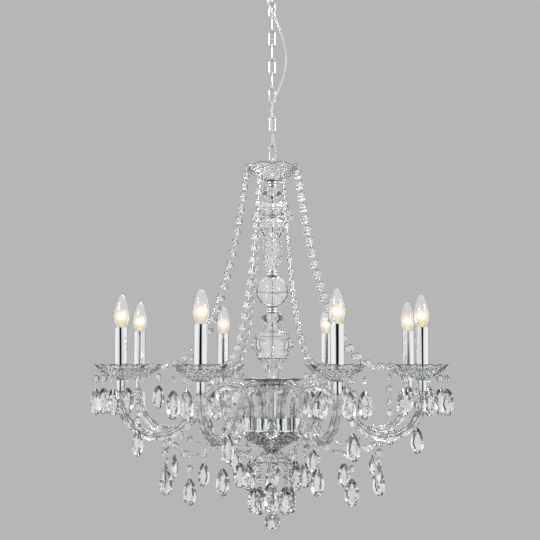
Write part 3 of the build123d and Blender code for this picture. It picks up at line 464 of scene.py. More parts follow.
# %% Crystal masters
def hull_mesh(name, corners):
    """Flat facets around a set of corner points."""
    body = bmesh.new()
    for corner in corners:
        body.verts.new(corner)
    bmesh.ops.convex_hull(body, input=body.verts)
    bmesh.ops.dissolve_limit(body, angle_limit=radians(1.0), verts=body.verts, edges=body.edges)
    mesh = plain_mesh(name, body)
    mesh.shade_flat()
    return mesh


DROP_TABLE = [(0.04, 0.2), (0.34, 0.42), (0.42, 0.6), (0.22, 0.8)]
DROP_STAR = [
    (0.0, 0.56, 1.0), (0.0, 0.22, 0.66), (0.42, 0.38, 0.74), (0.56, 0.6, 0.74), (0.36, 0.78, 0.74),
    (0.0, 0.88, 0.66),
]
DROP_TOP, DROP_FOOT = (0.09, 0.0), (0.2, 0.995)


def cut_drop(name, length, width, thickness, outline):
    """A flat drop hanging from the origin, its width along X: a table on one face and a star on the other."""
    half, deep = width / 2, thickness / 2
    corners = []
    for mirror in (1, -1):
        for across, down in [DROP_TOP, *outline, DROP_FOOT]:
            corners.append((mirror * half * across, 0.0, -length * down))
        for across, down in DROP_TABLE:
            corners.append((mirror * half * across, -deep, -length * down))
        for across, down, rise in DROP_STAR:
            corners.append((mirror * half * across, deep * rise, -length * down))
    return hull_mesh(name, corners)


NECK_WIDTH = 0.12


def cut_sphere(name, diameter, rows, columns, neck):
    """A ball cut into flat facets, with each row turned half a step from the next and a short neck on top."""
    radius = diameter / 2
    rings = [(NECK_WIDTH * neck, neck, 0.0)]
    for row in range(rows):
        tilt = pi * (row + 0.5) / rows
        rings.append((radius * sin(tilt), radius * cos(tilt), 0.5 * (row % 2)))
    turns = [(ring, tau * (column + ring[2]) / columns) for ring in rings for column in range(columns)]
    return hull_mesh(name, [(ring[0] * cos(turn), ring[0] * sin(turn), ring[1]) for ring, turn in turns])


DROP_LENGTH, DROP_WIDTH, DROP_THICK = 53 * MM, 29 * MM, 12 * MM
PEAR_LENGTH, PEAR_WIDTH, PEAR_THICK = 41 * MM, 31 * MM, 13 * MM
DROP_SIDE = [(0.34, 0.05), (0.69, 0.18), (0.92, 0.37), (1.0, 0.58), (0.92, 0.78), (0.6, 0.93)]
PEAR_SIDE = [(0.3, 0.16), (0.68, 0.4), (1.0, 0.68), (0.74, 0.9)]
drop_master = cut_drop("teardrop", DROP_LENGTH, DROP_WIDTH, DROP_THICK, DROP_SIDE)
pear_master = cut_drop("pear_drop", PEAR_LENGTH, PEAR_WIDTH, PEAR_THICK, PEAR_SIDE)
print("drop facets", len(drop_master.polygons), "pear facets", len(pear_master.polygons))

# %% [markdown]
# Drops hang plumb, so each needs only its top and its turn about the upright. The turn is the direction in
# which the island is widest.

# %% Drops on the dishes and swags
TOP_BAND = 0.1 * MM


def drop_place(corners):
    """Top point and turn of one hanging drop, from the corners of its solid."""
    top = corners[corners[:, 2] > corners[:, 2].max() - TOP_BAND].mean(axis=0)
    flat = corners[:, :2] - corners[:, :2].mean(axis=0)
    _, axes = np.linalg.eigh(flat.T @ flat)
    wide = axes[:, 1]
    return top, (0.0, 0.0, atan2(wide[1], wide[0]))


tall = (DROP_LENGTH + PEAR_LENGTH) / 2
teardrop_places = [drop_place(c) for c, _ in drop_islands if np.ptp(c[:, 2]) > tall]
pear_places = [drop_place(c) for c, _ in drop_islands if np.ptp(c[:, 2]) <= tall]
scatter("teardrops", drop_master, teardrop_places, cut_crystal, ["trim_drops"])
scatter("pear_drops", pear_master, pear_places, cut_crystal)
print("teardrops", len(teardrop_places), "pears", len(pear_places))

# %% [markdown]
# A strung bead is a flat octagon cut on both faces, and a chrome pin runs through it to the next bead. The
# pins are drawn as edges, and a tree turns every edge into a thin round wire.

# %% Beads and their pins
BEAD_ACROSS, BEAD_THICK, BEAD_EDGE = 16 * MM, 7.5 * MM, 0.9 * MM
BEAD_SIDES = 8
BEAD_TABLE = 0.56
PIN_RADIUS = 0.62 * MM
PIN_SIDES = 6
BEAD_REACH = 0.62 * BEAD_ACROSS
bead_corners = []
for k in range(BEAD_SIDES):
    rim, table = tau * (k + 0.5) / BEAD_SIDES, tau * k / BEAD_SIDES
    reach = BEAD_ACROSS / 2 / cos(pi / BEAD_SIDES)
    inner = BEAD_TABLE * reach
    for face in (1, -1):
        bead_corners.append((reach * cos(rim), face * BEAD_EDGE, reach * sin(rim)))
        bead_corners.append((inner * cos(table), face * BEAD_THICK / 2, inner * sin(table)))
bead_master = hull_mesh("octagon_bead", bead_corners)


def bead_place(corners, centre):
    """Middle, turn and pin ends of one strung bead."""
    arms = corners - centre
    far = np.linalg.norm(arms, axis=1)
    along = arms[far.argmax()] / far.max()
    near = arms[far < BEAD_REACH]
    _, axes = np.linalg.eigh(near.T @ near)
    facing = axes[:, 0] - along * (axes[:, 0] @ along)
    facing /= np.linalg.norm(facing)
    turn = Matrix(np.column_stack([np.cross(facing, along), facing, along]).tolist()).to_euler()
    reach = arms @ along
    pin = (centre + along * reach.min(), centre + along * reach.max())
    return (centre, turn), pin


def ring_profile(tree, sides, radius):
    """A round profile of straight sides."""
    return add_node(tree, "GeometryNodeCurvePrimitiveCircle", {"Resolution": sides}, {"Radius": radius})


def sweep(tree, line, profile):
    """A closed solid drawn along a curve."""
    links = {"Curve": line, "Profile Curve": profile}
    return add_node(tree, "GeometryNodeCurveToMesh", {"Fill Caps": True}, links).outputs["Mesh"]


wire_inputs = {"Radius": "Float", "Finish": "Material"}
wire_tree, wire_in, wire_out, wire_keys = new_tree("edges_to_wire", wire_inputs)
wire_line = add_node(wire_tree, "GeometryNodeMeshToCurve", (), {"Mesh": wire_in["Geometry"]})
wire_round = ring_profile(wire_tree, PIN_SIDES, wire_in["Radius"])
wire_solid = sweep(wire_tree, wire_line.outputs["Curve"], wire_round.outputs["Curve"])
end_tree(wire_tree, wire_solid, wire_in["Finish"], wire_out)


def wires(name, pins):
    """Round chrome wire along every pin."""
    ends = [tuple(end) for pin in pins for end in pin]
    mesh = bpy.data.meshes.new(f"{name}_lines")
    mesh.from_pydata(ends, [(2 * k, 2 * k + 1) for k in range(len(pins))], [])
    return grow(name, mesh, wire_tree, wire_keys, {"Radius": PIN_RADIUS, "Finish": chrome})


def string_beads(beads_name, pins_name, found, body, node):
    """Cuts every bead of a string, wires it and places both in the node's stead."""
    strung = [bead_place(corners, centre) for corners, centre in found]
    places = [place for place, _ in strung]
    scatter(beads_name, bead_master, places, bead_glass, [node], body)
    place_piece(pins_name, wires(pins_name, [pin for _, pin in strung]), body=body)
    return len(strung)


for node, found in (("strand_beads", strand_islands), ("trim_beads", trim_islands)):
    print(node, string_beads(f"{node}_cut", f"{node}_pins", found, FIXTURE, node), "beads")

# %% [markdown]
# The pendant under each arm swings by itself, so it is its own piece on its own body: one bead, its pin and
# one drop. The last pendant under the column has four beads and a cut ball.

# %% Swinging pendants
BALL_DIAMETER, BALL_ROWS, BALL_COLUMNS = 35 * MM, 7, 10
BALL_NECK = 0.78 * BALL_DIAMETER
ball_master = cut_sphere("cut_ball", BALL_DIAMETER, BALL_ROWS, BALL_COLUMNS, BALL_NECK)


def swinging_pendant(node, with_ball=False):
    """Bead, pin and drop of one pendant, made on its own body."""
    beads, drops = [], []
    for corners, centre in islands(node):
        wide = np.ptp(corners[:, :2], axis=0).max()
        (drops if wide > 1.2 * BEAD_ACROSS else beads).append((corners, centre))
    body = f"{node}_body"
    string_beads(f"{node}_beads", f"{node}_pins", beads, body, node)
    master = ball_master if with_ball else drop_master
    places = [(centre, (0, 0, 0)) if with_ball else drop_place(corners) for corners, centre in drops]
    scatter(f"{node}_crystal", master, places, cut_crystal, body=body)


for number in range(1, ARMS + 1):
    swinging_pendant(f"arm_pendant_{number}")
swinging_pendant("finial_pendant", True)
print("swinging pendants", ARMS + 1)

# %% [markdown]
# Each arm is a rope of glass: a rod with rounded ribs, twisted as it was drawn. The tree sweeps a ribbed
# profile along the arm's line, and the twist comes from the curve's tilt, which grows along its length. Eight
# copies stand round the column.

# %% Twisted glass arms
PLATE_TOP = -1037.3 * MM
ARM_CIRCLE, ARCH_RADIUS, ARCH_HEIGHT = 50 * MM, 50 * MM, 92 * MM
U_RADIUS, CANDLE_CIRCLE = 80 * MM, 330 * MM
ARM_END = PLATE_TOP + 82 * MM
ARM_STRAIGHT = 12 * MM
ARM_RADIUS = 9.5 * MM
ARM_STEP = 4 * MM
RIB_DEPTH = 1.0 * MM
RIBS = 6.0
TWIST_PITCH = 170 * MM
PROFILE_POINTS, ROPE_POINTS = 56, 220


def arc(centre, radius, start, sweep_angle):
    """Points along an arc, about one step apart."""
    turns = int(radius * abs(sweep_angle) / ARM_STEP)
    angles = [start + sweep_angle * k / turns for k in range(turns + 1)]
    return [(centre[0] + radius * cos(a), centre[1] + radius * sin(a)) for a in angles]


def arm_line():
    """The arm's centre line in the XZ plane: up from the plate, over the arch and down round the U."""
    arch = (ARM_CIRCLE + ARCH_RADIUS, PLATE_TOP + ARCH_HEIGHT - ARCH_RADIUS)
    u = (CANDLE_CIRCLE - U_RADIUS, ARM_END - ARM_STRAIGHT)
    run = hypot(u[0] - arch[0], u[1] - arch[1])
    fall = asin((ARCH_RADIUS + U_RADIUS) / run) - atan2(u[1] - arch[1], u[0] - arch[0])
    bend = pi / 2 + fall
    points = [(ARM_CIRCLE, PLATE_TOP + 0.2 * MM), (ARM_CIRCLE, arch[1])]
    points += arc(arch, ARCH_RADIUS, pi, -bend) + arc(u, U_RADIUS, -bend, bend)
    points.append((CANDLE_CIRCLE, ARM_END))
    return [(x, 0.0, z) for x, z in points]


rope_values = {"Radius": ARM_RADIUS, "Rib Depth": RIB_DEPTH, "Ribs": RIBS, "Pitch": TWIST_PITCH}
rope_inputs = {**dict.fromkeys(rope_values, "Float"), "Finish": "Material", "Places": "Object"}
rope, rope_in, rope_out, rope_keys = new_tree("twisted_rope", rope_inputs)
rope_curve = add_node(rope, "GeometryNodeMeshToCurve", (), {"Mesh": rope_in["Geometry"]}).outputs["Curve"]
rope_even = add_node(rope, "GeometryNodeResampleCurve", {"Count": ROPE_POINTS}, {"Curve": rope_curve})
run_length = add_node(rope, "GeometryNodeSplineParameter").outputs["Length"]
twist = calc(rope, "MULTIPLY", calc(rope, "DIVIDE", run_length, rope_in["Pitch"]), tau)
tilt_links = {"Curve": rope_even.outputs["Curve"], "Tilt": twist}
rope_line = add_node(rope, "GeometryNodeSetCurveTilt", (), tilt_links)
rope_ring = ring_profile(rope, PROFILE_POINTS, rope_in["Radius"])
point_number = add_node(rope, "GeometryNodeInputIndex").outputs[0]
around = calc(rope, "MULTIPLY", point_number, tau / PROFILE_POINTS)
half_rib = calc(rope, "MULTIPLY", calc(rope, "MULTIPLY", around, rope_in["Ribs"]), 0.5)
rib = calc(rope, "ABSOLUTE", calc(rope, "SINE", half_rib))
dent = calc(rope, "MULTIPLY", calc(rope, "SUBTRACT", rib, 1.0), rope_in["Rib Depth"])
from_axis = add_node(rope, "GeometryNodeInputPosition").outputs["Position"]
outward = add_node(rope, "ShaderNodeVectorMath", {"operation": "NORMALIZE"}, {0: from_axis}).outputs["Vector"]
shift = add_node(rope, "ShaderNodeVectorMath", {"operation": "SCALE"}, {0: outward, "Scale": dent})
ribbed_links = {"Geometry": rope_ring.outputs["Curve"], "Offset": shift.outputs["Vector"]}
ribbed = add_node(rope, "GeometryNodeSetPosition", (), ribbed_links)
rope_body = sweep(rope, rope_line.outputs["Curve"], ribbed.outputs["Geometry"])
rope_places = add_node(rope, "GeometryNodeObjectInfo", (), {"Object": rope_in["Places"]})
rope_copies = put_copies(rope, rope_places.outputs["Geometry"], rope_body)
end_tree(rope, rope_copies, rope_in["Finish"], rope_out)

ARM_TURNS = [radians(FIRST_ARM + 360 / ARMS * k) for k in range(ARMS)]
line = arm_line()
line_mesh = bpy.data.meshes.new("arm_line")
line_mesh.from_pydata(line, [(k, k + 1) for k in range(len(line) - 1)], [])
arm_points = points_mesh("arm_spots", [((0, 0, 0), (0, 0, turn)) for turn in ARM_TURNS])
arm_spots = add_object("arm_spots", arm_points)
rope_values.update({"Finish": pressed_glass, "Places": arm_spots})
arms_mesh = grow("twisted_arms", line_mesh, rope, rope_keys, rope_values)
bpy.data.objects.remove(arm_spots)
smooth_but_corners(arms_mesh, 50.0)
arm_nodes = [f"arm_{k}" for k in range(1, ARMS + 1)]
place_piece("twisted_arms", arms_mesh, arm_nodes)
print("arms", len(arms_mesh.polygons), "faces")

# %% [markdown]
# Dishes are pressed in a mould: the underside carries a net of cut diamonds round its foot, and the thin rim
# flares out in scallops. The mesh is a grid round the axis, whose underside is pushed out where two families
# of slanted lines leave a diamond.

# %% Cut dishes
def part_way(a, b, share):
    """The point a share of the way from one point to another."""
    return (a[0] + (b[0] - a[0]) * share, a[1] + (b[1] - a[1]) * share)


def pyramid(u, v):
    """Height of a field of four-sided points, one to each whole step of u and v."""
    return 1.0 - max(abs(2.0 * (u % 1.0) - 1.0), abs(2.0 * (v % 1.0) - 1.0))


def band(first, second, columns, flipped=False):
    """The four-sided faces between two rings of corners."""
    faces = []
    for column in range(columns):
        after = (column + 1) % columns
        quad = (first + column, first + after, second + after, second + column)
        faces.append(quad[::-1] if flipped else quad)
    return faces


def closed_mesh(name, vertices, faces, corner):
    """A mesh of corners and faces, all facing out, smooth except at its sharp corners."""
    mesh = bpy.data.meshes.new(name)
    mesh.from_pydata(vertices, [], faces)
    shell = bmesh.new()
    shell.from_mesh(mesh)
    bmesh.ops.recalc_face_normals(shell, faces=shell.faces)
    shell.to_mesh(mesh)
    shell.free()
    smooth_but_corners(mesh, corner)
    return mesh


HIP_OUT, HIP_UP = 0.62, 0.52
FLARE_FROM, PETAL_IN, PETAL_DOWN = 0.55, 0.075, 0.10
CUT_FROM, PUSH_OUT, PUSH_DOWN = 0.30, 0.4, 0.75


def cut_dish(name, sizes, lobes, cuts, rows_cut, relief, cut_to, rows=(3, 30, 22)):
    """A scalloped dish standing on z = 0, with diamonds cut into its underside; its sizes in millimetres."""
    radius, depth, foot, wall, hole = [size * MM for size in sizes]
    columns = max(lobes * 12, cuts * 6)
    columns += -columns % lobes
    hip = (foot + (radius - foot) * HIP_OUT, depth * HIP_UP)
    under = [(hole, 0.0), (foot, 0.0), hip, (radius, depth - 0.6 * wall)]
    over = [(hole, wall), (foot - 0.4 * wall, wall), (hip[0] - 0.8 * wall, hip[1] + wall), (radius, depth)]

    def walk(points):
        path = []
        for k, (start, end) in enumerate(zip(points, points[1:])):
            shares = [step / rows[k] for step in range(rows[k])]
            path += [(*part_way(start, end, share), (k + share) / 3) for share in shares]
        path.append((*points[-1], 1.0))
        return path

    low, high = walk(under), walk(over)
    vertices, faces = [], []
    for is_under, path in ((True, low), (False, high)):
        for r, z, share in path:
            flare = max(0.0, (share - FLARE_FROM) / (1.0 - FLARE_FROM)) ** 2
            for column in range(columns):
                a = tau * column / columns
                gap = flare * (1.0 - abs(cos(lobes * a / 2)))
                push = 0.0
                if is_under and CUT_FROM < share < cut_to:
                    turn, slant = cuts * a / tau, rows_cut * share
                    push = relief * MM * pyramid(turn + slant, turn - slant)
                rr = r * (1.0 - PETAL_IN * gap) + PUSH_OUT * push
                vertices.append((rr * cos(a), rr * sin(a), z - PETAL_DOWN * depth * gap - PUSH_DOWN * push))
    count = len(low)
    for side in (0, 1):
        for row in range(count - 1):
            start = (side * count + row) * columns
            faces += band(start, start + columns, columns, flipped=side == 0)
    faces += band(0, count * columns, columns, flipped=True)
    faces += band((count - 1) * columns, (2 * count - 1) * columns, columns)
    return closed_mesh(name, vertices, faces, 22.0)


HOLE = 4.3
CUP_TOP = ARM_END + 23.5 * MM
# The sizes of a dish are its radius, depth, foot, wall and hole.
drip = (54, 31.5, 14.8, 2.2, 4.25)
bobeche = cut_dish("bobeche", drip, 12, cuts=20, rows_cut=5, relief=2.8, cut_to=0.82, rows=(2, 18, 14))
candle_axes = [(CANDLE_CIRCLE * cos(a), CANDLE_CIRCLE * sin(a), a) for a in ARM_TURNS]
bobeche_places = [((x, y, CUP_TOP), (0, 0, a)) for x, y, a in candle_axes]
bobeches = scatter("cut_bobeches", bobeche, bobeche_places, dish_clear, ["bobeches"])


def levels_of(node):
    """Lowest and highest level of a solid."""
    low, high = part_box(node)
    return low[2], high[2]


def standing_dish(node, dish, finish=dish_clear, turn=0.0, flipped=False):
    """Places a dish on the column in place of its solid."""
    low, high = levels_of(node)
    spin = Euler((pi if flipped else 0.0, 0.0, turn)).to_matrix().to_4x4()
    dish.transform(Matrix.Translation((0, 0, high if flipped else low)) @ spin)
    place_piece(f"{node}_cut", dish, [node], finish)


crown = cut_dish("crown", (61, 34, 16, 3, HOLE), 8, cuts=28, rows_cut=8, relief=2.4, cut_to=0.93)
gallery = cut_dish("gallery", (70, 14, 24.6, 2.4, 16.9), 8, cuts=28, rows_cut=5, relief=1.2, cut_to=0.9)
bowl = cut_dish("bowl", (73.5, 41, 12, 3.4, HOLE), 16, cuts=32, rows_cut=14, relief=3.4, cut_to=0.97)
finial = cut_dish("finial", (41, 26, 12, 3, HOLE), 8, cuts=16, rows_cut=5, relief=1.8, cut_to=0.8)
standing_dish("crown_dish", crown, turn=radians(FIRST_ARM))
standing_dish("gallery_dish", gallery)
standing_dish("bottom_bowl", bowl, hammered_glass)
standing_dish("finial_dish", finial, flipped=True)
print("dishes", len(bobeches.data.polygons), "faces on the bobeches")

# %% [markdown]
# The column's glass is turned: a profile spun about the axis. The outside has flutes where it was pressed in
# ribs and small diamonds where a wheel cut it, while the bore stays plain. The wall between them is thick and
# uneven, so it bends light like a lens: that is what draws the dark outlines and the white bands.

# %% Turned glass of the column
def eased(points, cut):
    """A closed outline with each corner replaced by two points a short way along its sides."""
    soft = []
    for before, corner, after in zip(points[-1:] + points[:-1], points, points[1:] + points[:1]):
        for end in (before, after):
            run = hypot(end[0] - corner[0], end[1] - corner[1])
            soft.append(part_way(corner, end, min(cut / run, 0.4) if run else 0.0))
    return soft


def divided(points, longest):
    """The same outline with long runs divided, so that flutes and diamonds bend smoothly along them."""
    fine = []
    for a, b in zip(points, points[1:] + points[:1]):
        parts = max(1, int(hypot(b[0] - a[0], b[1] - a[1]) / longest))
        fine.extend(part_way(a, b, k / parts) for k in range(parts))
    return fine


CUT_FADE = 2 * MM


def cut_depth(cut, r, z, a):
    """How far one cut goes in at a point: (lowest, highest, least radius, count, depth, diamond height)."""
    low, high, least, count, depth, tall = cut
    if not (low < z < high and r > least):
        return 0.0
    fade = min(1.0, (z - low) / CUT_FADE, (high - z) / CUT_FADE)
    if tall:
        u, v = count * a / tau + z / tall, count * a / tau - z / tall
        return depth * fade * (1.0 - pyramid(u, v))
    return depth * fade * (1.0 - abs(cos(count * a / 2)))


def turned(name, outline, columns=96, cuts=(), corner=28.0):
    """A closed outline spun about Z, with cuts on its outer side."""
    vertices, faces = [], []
    for r, z in outline:
        for column in range(columns):
            a = tau * column / columns
            rr = r - max((cut_depth(cut, r, z, a) for cut in cuts), default=0.0)
            vertices.append((rr * cos(a), rr * sin(a), z))
    count = len(outline)
    for row in range(count):
        faces += band(row * columns, (row + 1) % count * columns, columns)
    return closed_mesh(name, vertices, faces, corner)


COLUMN_EASE, COLUMN_RUN, COLUMN_SIDES = 0.5 * MM, 2.0 * MM, 120


def column_glass(node, profile, bore, cuts, finish=column_clear):
    """One glass piece of the column: profile and bore as (radius, depth below its top) in millimetres."""
    _, top = levels_of(node)
    line = [(r * MM, top - d * MM) for r, d in [*profile, *reversed(bore)]]
    outline = divided(eased(line, COLUMN_EASE), COLUMN_RUN)
    placed = [
        (top - deep * MM, top - shallow * MM, least * MM, count, depth * MM, tall * MM)
        for shallow, deep, least, count, depth, tall in cuts
    ]
    mesh = turned(f"{node}_glass", outline, COLUMN_SIDES, placed)
    place_piece(f"{node}_glass", mesh, [node], finish)
    print(node, len(mesh.polygons), "faces")


upper_profile = [
    (15.5, 0), (16.5, 2), (18.5, 6), (22, 11), (28, 16), (35, 19.5), (35.8, 21), (35.8, 33), (37, 34.5),
    (42.5, 37), (44.8, 42), (44.8, 52), (43, 57), (38, 61), (37, 62.5), (37, 66), (31, 70), (31.8, 74),
    (31.8, 76), (27, 80), (22.5, 88), (20.8, 96), (21, 115), (22.2, 132), (20, 141), (15.4, 152), (14.2, 157),
    (14.2, 161.8),
]
upper_bore = [
    (11.5, 0), (12, 3), (14, 7), (18, 13), (25, 20), (29, 27), (30, 56), (26, 68), (20, 78), (15, 90),
    (14, 132), (10, 152), (9.5, 161.8),
]
upper_cuts = [
    (1, 19, 15.8, 16, 1.2, 0), (72, 95, 20, 20, 2.0, 0), (97, 134, 16, 14, 2.0, 13),
    (135, 156, 14, 14, 1.2, 0),
]
column_glass("upper_vase", upper_profile, upper_bore, upper_cuts)

lower_profile = [
    (16, 0), (16.8, 2), (19, 7), (23, 13), (29, 18), (35.5, 22), (36.6, 24), (36.6, 30), (38.5, 31),
    (38.5, 33.5), (37.6, 35), (38, 37), (43, 40), (46, 45), (46, 51), (43, 55), (41, 56.5), (41, 60),
    (36, 66), (33, 72), (31.5, 75.7),
]
lower_bore = [
    (12, 0), (12.5, 3), (15, 8), (20, 15), (27, 22), (30, 32), (30, 54), (26, 62), (27, 70), (27.5, 75.7),
]
lower_cuts = [(1, 21, 16.3, 16, 1.2, 0), (60.5, 75, 30, 24, 1.2, 0)]
column_glass("lower_vase", lower_profile, lower_bore, lower_cuts)

stem_profile = [
    (33, 0), (31.5, 2), (27, 6), (22.5, 14), (19.2, 25), (18.6, 26), (19.5, 26.6), (19.5, 28.8), (18, 29.5),
    (16.6, 30.2), (16.6, 57),
]
stem_bore = [(28.5, 0), (22, 6), (17, 14), (14, 25), (12, 30), (12, 57)]
stem_cuts = [(0.5, 25.5, 18, 18, 2.2, 0), (31, 56, 15, 9, 2.2, 13)]
column_glass("fluted_stem", stem_profile, stem_bore, stem_cuts)

# %% [markdown]
# The hub between the arms is a thick tumbler with tall flutes, which throw dark and light stripes. The ball
# is blown in two halves whose edges are ground back at the seam, and each knop is a cushion cut in flats.

# %% Hub, ball and knops
hub_low, hub_top = levels_of("hub_core")
hub_height = (hub_top - hub_low) / MM
hub_profile = [(27, 0), (27, hub_height)]
hub_bore = [(HOLE, 0), (HOLE, 6), (20, 7), (20, hub_height)]
column_glass("hub_core", hub_profile, hub_bore, [(2, hub_height - 2, 24, 16, 3.0, 0)], pressed_glass)

BALL_RADIUS, BALL_WALL, SEAM_CUT = 35.6, 4.0, 0.9
BALL_STEPS = 18
hollow = BALL_RADIUS - BALL_WALL


def section_arc(radius, first, last):
    """Points along an arc of the ball's section."""
    return [(radius * cos(a), radius * sin(a)) for a in np.linspace(first, last, BALL_STEPS + 1)]


for node, side in (("ball_upper_half", 1), ("ball_lower_half", -1)):
    low, high = levels_of(node)
    seam = low if side > 0 else high
    height = (high - low) / MM
    outer = section_arc(BALL_RADIUS, asin(SEAM_CUT / BALL_RADIUS), asin(height / BALL_RADIUS))
    inner = section_arc(hollow, acos(HOLE / hollow), 0.0)[:-1]
    ball_line = [(hollow, 0.0), (BALL_RADIUS - SEAM_CUT, 0.0), *outer, (HOLE, height), *inner]
    ball_mesh = turned(f"{node}_blown", [(r * MM, seam + side * z * MM) for r, z in ball_line])
    place_piece(f"{node}_blown", ball_mesh, [node], column_clear)

KNOP_FLATS, KNOP_CORNER = 12, 5.0
knop_line = [
    (HOLE, 0), (16.5, 0), (21, -3.5), (24, -8), (24, -11.8), (21, -16.3), (16.5, -19.8), (HOLE, -19.8),
]
knop_master = turned("cut_knop", [(r * MM, z * MM) for r, z in knop_line], KNOP_FLATS, (), KNOP_CORNER)
knop_tops = sorted({round(float(corners[:, 2].max()), 6) for corners, _ in islands("knops")})
knop_places = [((0, 0, top), (0, 0, 0)) for top in knop_tops]
scatter("cut_knops", knop_master, knop_places, pressed_glass, ["knops"])
print("knops", len(knop_places))

# %% [markdown]
# A lit filament glows far brighter than its lamp. The glow is a nest of thin shells, white in the middle and
# amber outside, so it fades softly from every side. The lamp's cap is nickel plate, duller than the chrome.

# %% Lamp finishes
FLICKER_MM = 5


def glow_shell(name, colour, strength, cover):
    """One thin shell of light: mostly clear, and partly glowing."""
    material, tree = new_material(name)
    part = spread(tree, noise(tree, FLICKER_MM, 1.0), 0.7 * cover, 1.25 * cover, 0.3, 0.7)
    clear = add_node(tree, "ShaderNodeBsdfTransparent")
    light = add_node(tree, "ShaderNodeEmission", {"Color": hex_colour(colour), "Strength": strength})
    links = {0: part, 1: clear.outputs[0], 2: light.outputs[0]}
    end_shader(tree, add_node(tree, "ShaderNodeMixShader", (), links))
    return material


GLOW = [
    (5.0, 0.85, 0.0, glow_shell("filament_core", "#FFFEFA", 5.0, 0.80)),
    (7.4, 0.85, 0.0, glow_shell("filament_glow_white", "#FFF9EE", 2.2, 0.40)),
    (9.8, 0.90, 0.0, glow_shell("filament_glow_cream", "#FFF0D4", 1.6, 0.24)),
    (12.6, 0.95, 0.0, glow_shell("filament_glow_warm", "#FFE8C4", 1.3, 0.20)),
    (15.2, 1.05, 0.0, glow_shell("filament_glow_amber", "#FFE0B0", 1.1, 0.12)),
    (4.2, 2.6, -14.0, glow_shell("filament_glow_stem", "#FFE0A8", 1.3, 0.30)),
]
nickel = plated_metal("nickel_lamp_cap", "#D8D4CC", 0.12, 0.2, 6.0, 0.1)
print("glow shells", len(GLOW))

# %% [markdown]
# A candle lamp is a thin glass flame on a screw cap that hides in the tube, with a glass stem that carries
# the filament. All of them are turned shapes, so each is one outline spun about the lamp's axis. Every lamp
# lifts out by itself, so its pieces ride on its own body.

# %% Lit lamps
CAP_BASE, TIP = levels_of("bulb_1")
NECK = CAP_BASE + 22 * MM
LAMP_HEIGHT = TIP - NECK
FILAMENT = NECK + 0.40 * LAMP_HEIGHT
LAMP_WALL = 0.9 * MM
ON_AXIS = 0.02
FLAME = [
    (8.2, 0.0), (11.4, 0.09), (14.4, 0.19), (16.8, 0.31), (17.5, 0.427), (16.4, 0.545), (14.0, 0.66),
    (11.4, 0.78), (7.9, 0.897), (4.5, 0.96), (1.6, 0.995),
]


def flame_outline(wall):
    """Rounded half outline of the lamp's glass from the neck up to its tip, drawn in by a wall."""
    points = [(r * MM - wall, NECK + LAMP_HEIGHT * t - (wall if t > 0.9 else 0.0)) for r, t in FLAME]
    for _ in range(2):
        cut = [points[0]]
        for a, b in zip(points, points[1:]):
            cut += [part_way(a, b, 0.25), part_way(a, b, 0.75)]
        points = cut + [points[-1]]
    return points


lamp_outline = [
    (ON_AXIS * MM, NECK + LAMP_WALL),
    (ON_AXIS * MM, NECK),
    *flame_outline(0.0),
    (ON_AXIS * MM, TIP),
    (ON_AXIS * MM, TIP - 1.5 * LAMP_WALL),
    *reversed(flame_outline(LAMP_WALL)),
]
lamp_flame = turned("lamp_flame", lamp_outline, 48)
STEM_BASE = NECK + LAMP_WALL + 0.7 * MM
stem_marks = [(ON_AXIS, -0.5), (6, -0.5), (5, 4), (2.6, 9), (2.2, 24), (3.4, 26), (3.2, 28), (ON_AXIS, 29)]
lamp_stem = turned("lamp_stem", [(r * MM, STEM_BASE + d * MM) for r, d in stem_marks], 24)
SCREW_TURNS, SCREW_PITCH = 6, 2.6
cap_marks = [(ON_AXIS, 0), (4.0, 0), (6.8, 3)]
for ring in range(SCREW_TURNS):
    cap_marks += [(6.75, 4.0 + SCREW_PITCH * ring), (6.1, 5.3 + SCREW_PITCH * ring)]
cap_marks += [(6.8, 21.5), (ON_AXIS, 21.8)]
lamp_cap = turned("lamp_cap", [(r * MM, CAP_BASE + d * MM) for r, d in cap_marks], 40)
glow_nest = bmesh.new()
for layer, (radius, tall, lift, _) in enumerate(GLOW):
    before = set(glow_nest.faces)
    shape = Matrix.Translation((0, 0, FILAMENT + lift * MM)) @ Matrix.Diagonal((1, 1, tall, 1))
    bmesh.ops.create_uvsphere(glow_nest, u_segments=16, v_segments=10, radius=radius * MM, matrix=shape)
    for face in set(glow_nest.faces) - before:
        face.material_index = layer
glow_master = plain_mesh("glow_nest", glow_nest)
glow_master.shade_smooth()
for _, _, _, finish in GLOW:
    glow_master.materials.append(finish)
LAMP_PARTS = [("flame", lamp_flame, lamp_glass), ("stem", lamp_stem, lamp_glass), ("cap", lamp_cap, nickel)]
for number, (x, y, turn) in enumerate(candle_axes, 1):
    body = f"bulb_{number}_body"
    spot = [((x, y, 0.0), (0, 0, turn))]
    for part, master, finish in LAMP_PARTS:
        stands_for = [f"bulb_{number}"] if part == "flame" else []
        scatter(f"lamp_{number}_{part}", master, spot, finish, stands_for, body)
    glow = glow_master.copy()
    glow.transform(Matrix.Translation((x, y, 0.0)))
    place_piece(f"lamp_{number}_glow", glow, body=body)
print("lamps", ARMS)

# %% [markdown]
# The studio is a plain grey room. What the camera sees behind the object is one even grey, while metal and
# glass mirror a ring of soft white walls with a dark gap behind the camera and a dark edge beside the
# backdrop. That gap is the black stripe down every chrome tube. Glass sees a slightly lighter backdrop than
# the camera does, so clear pieces stand out pale against the grey.

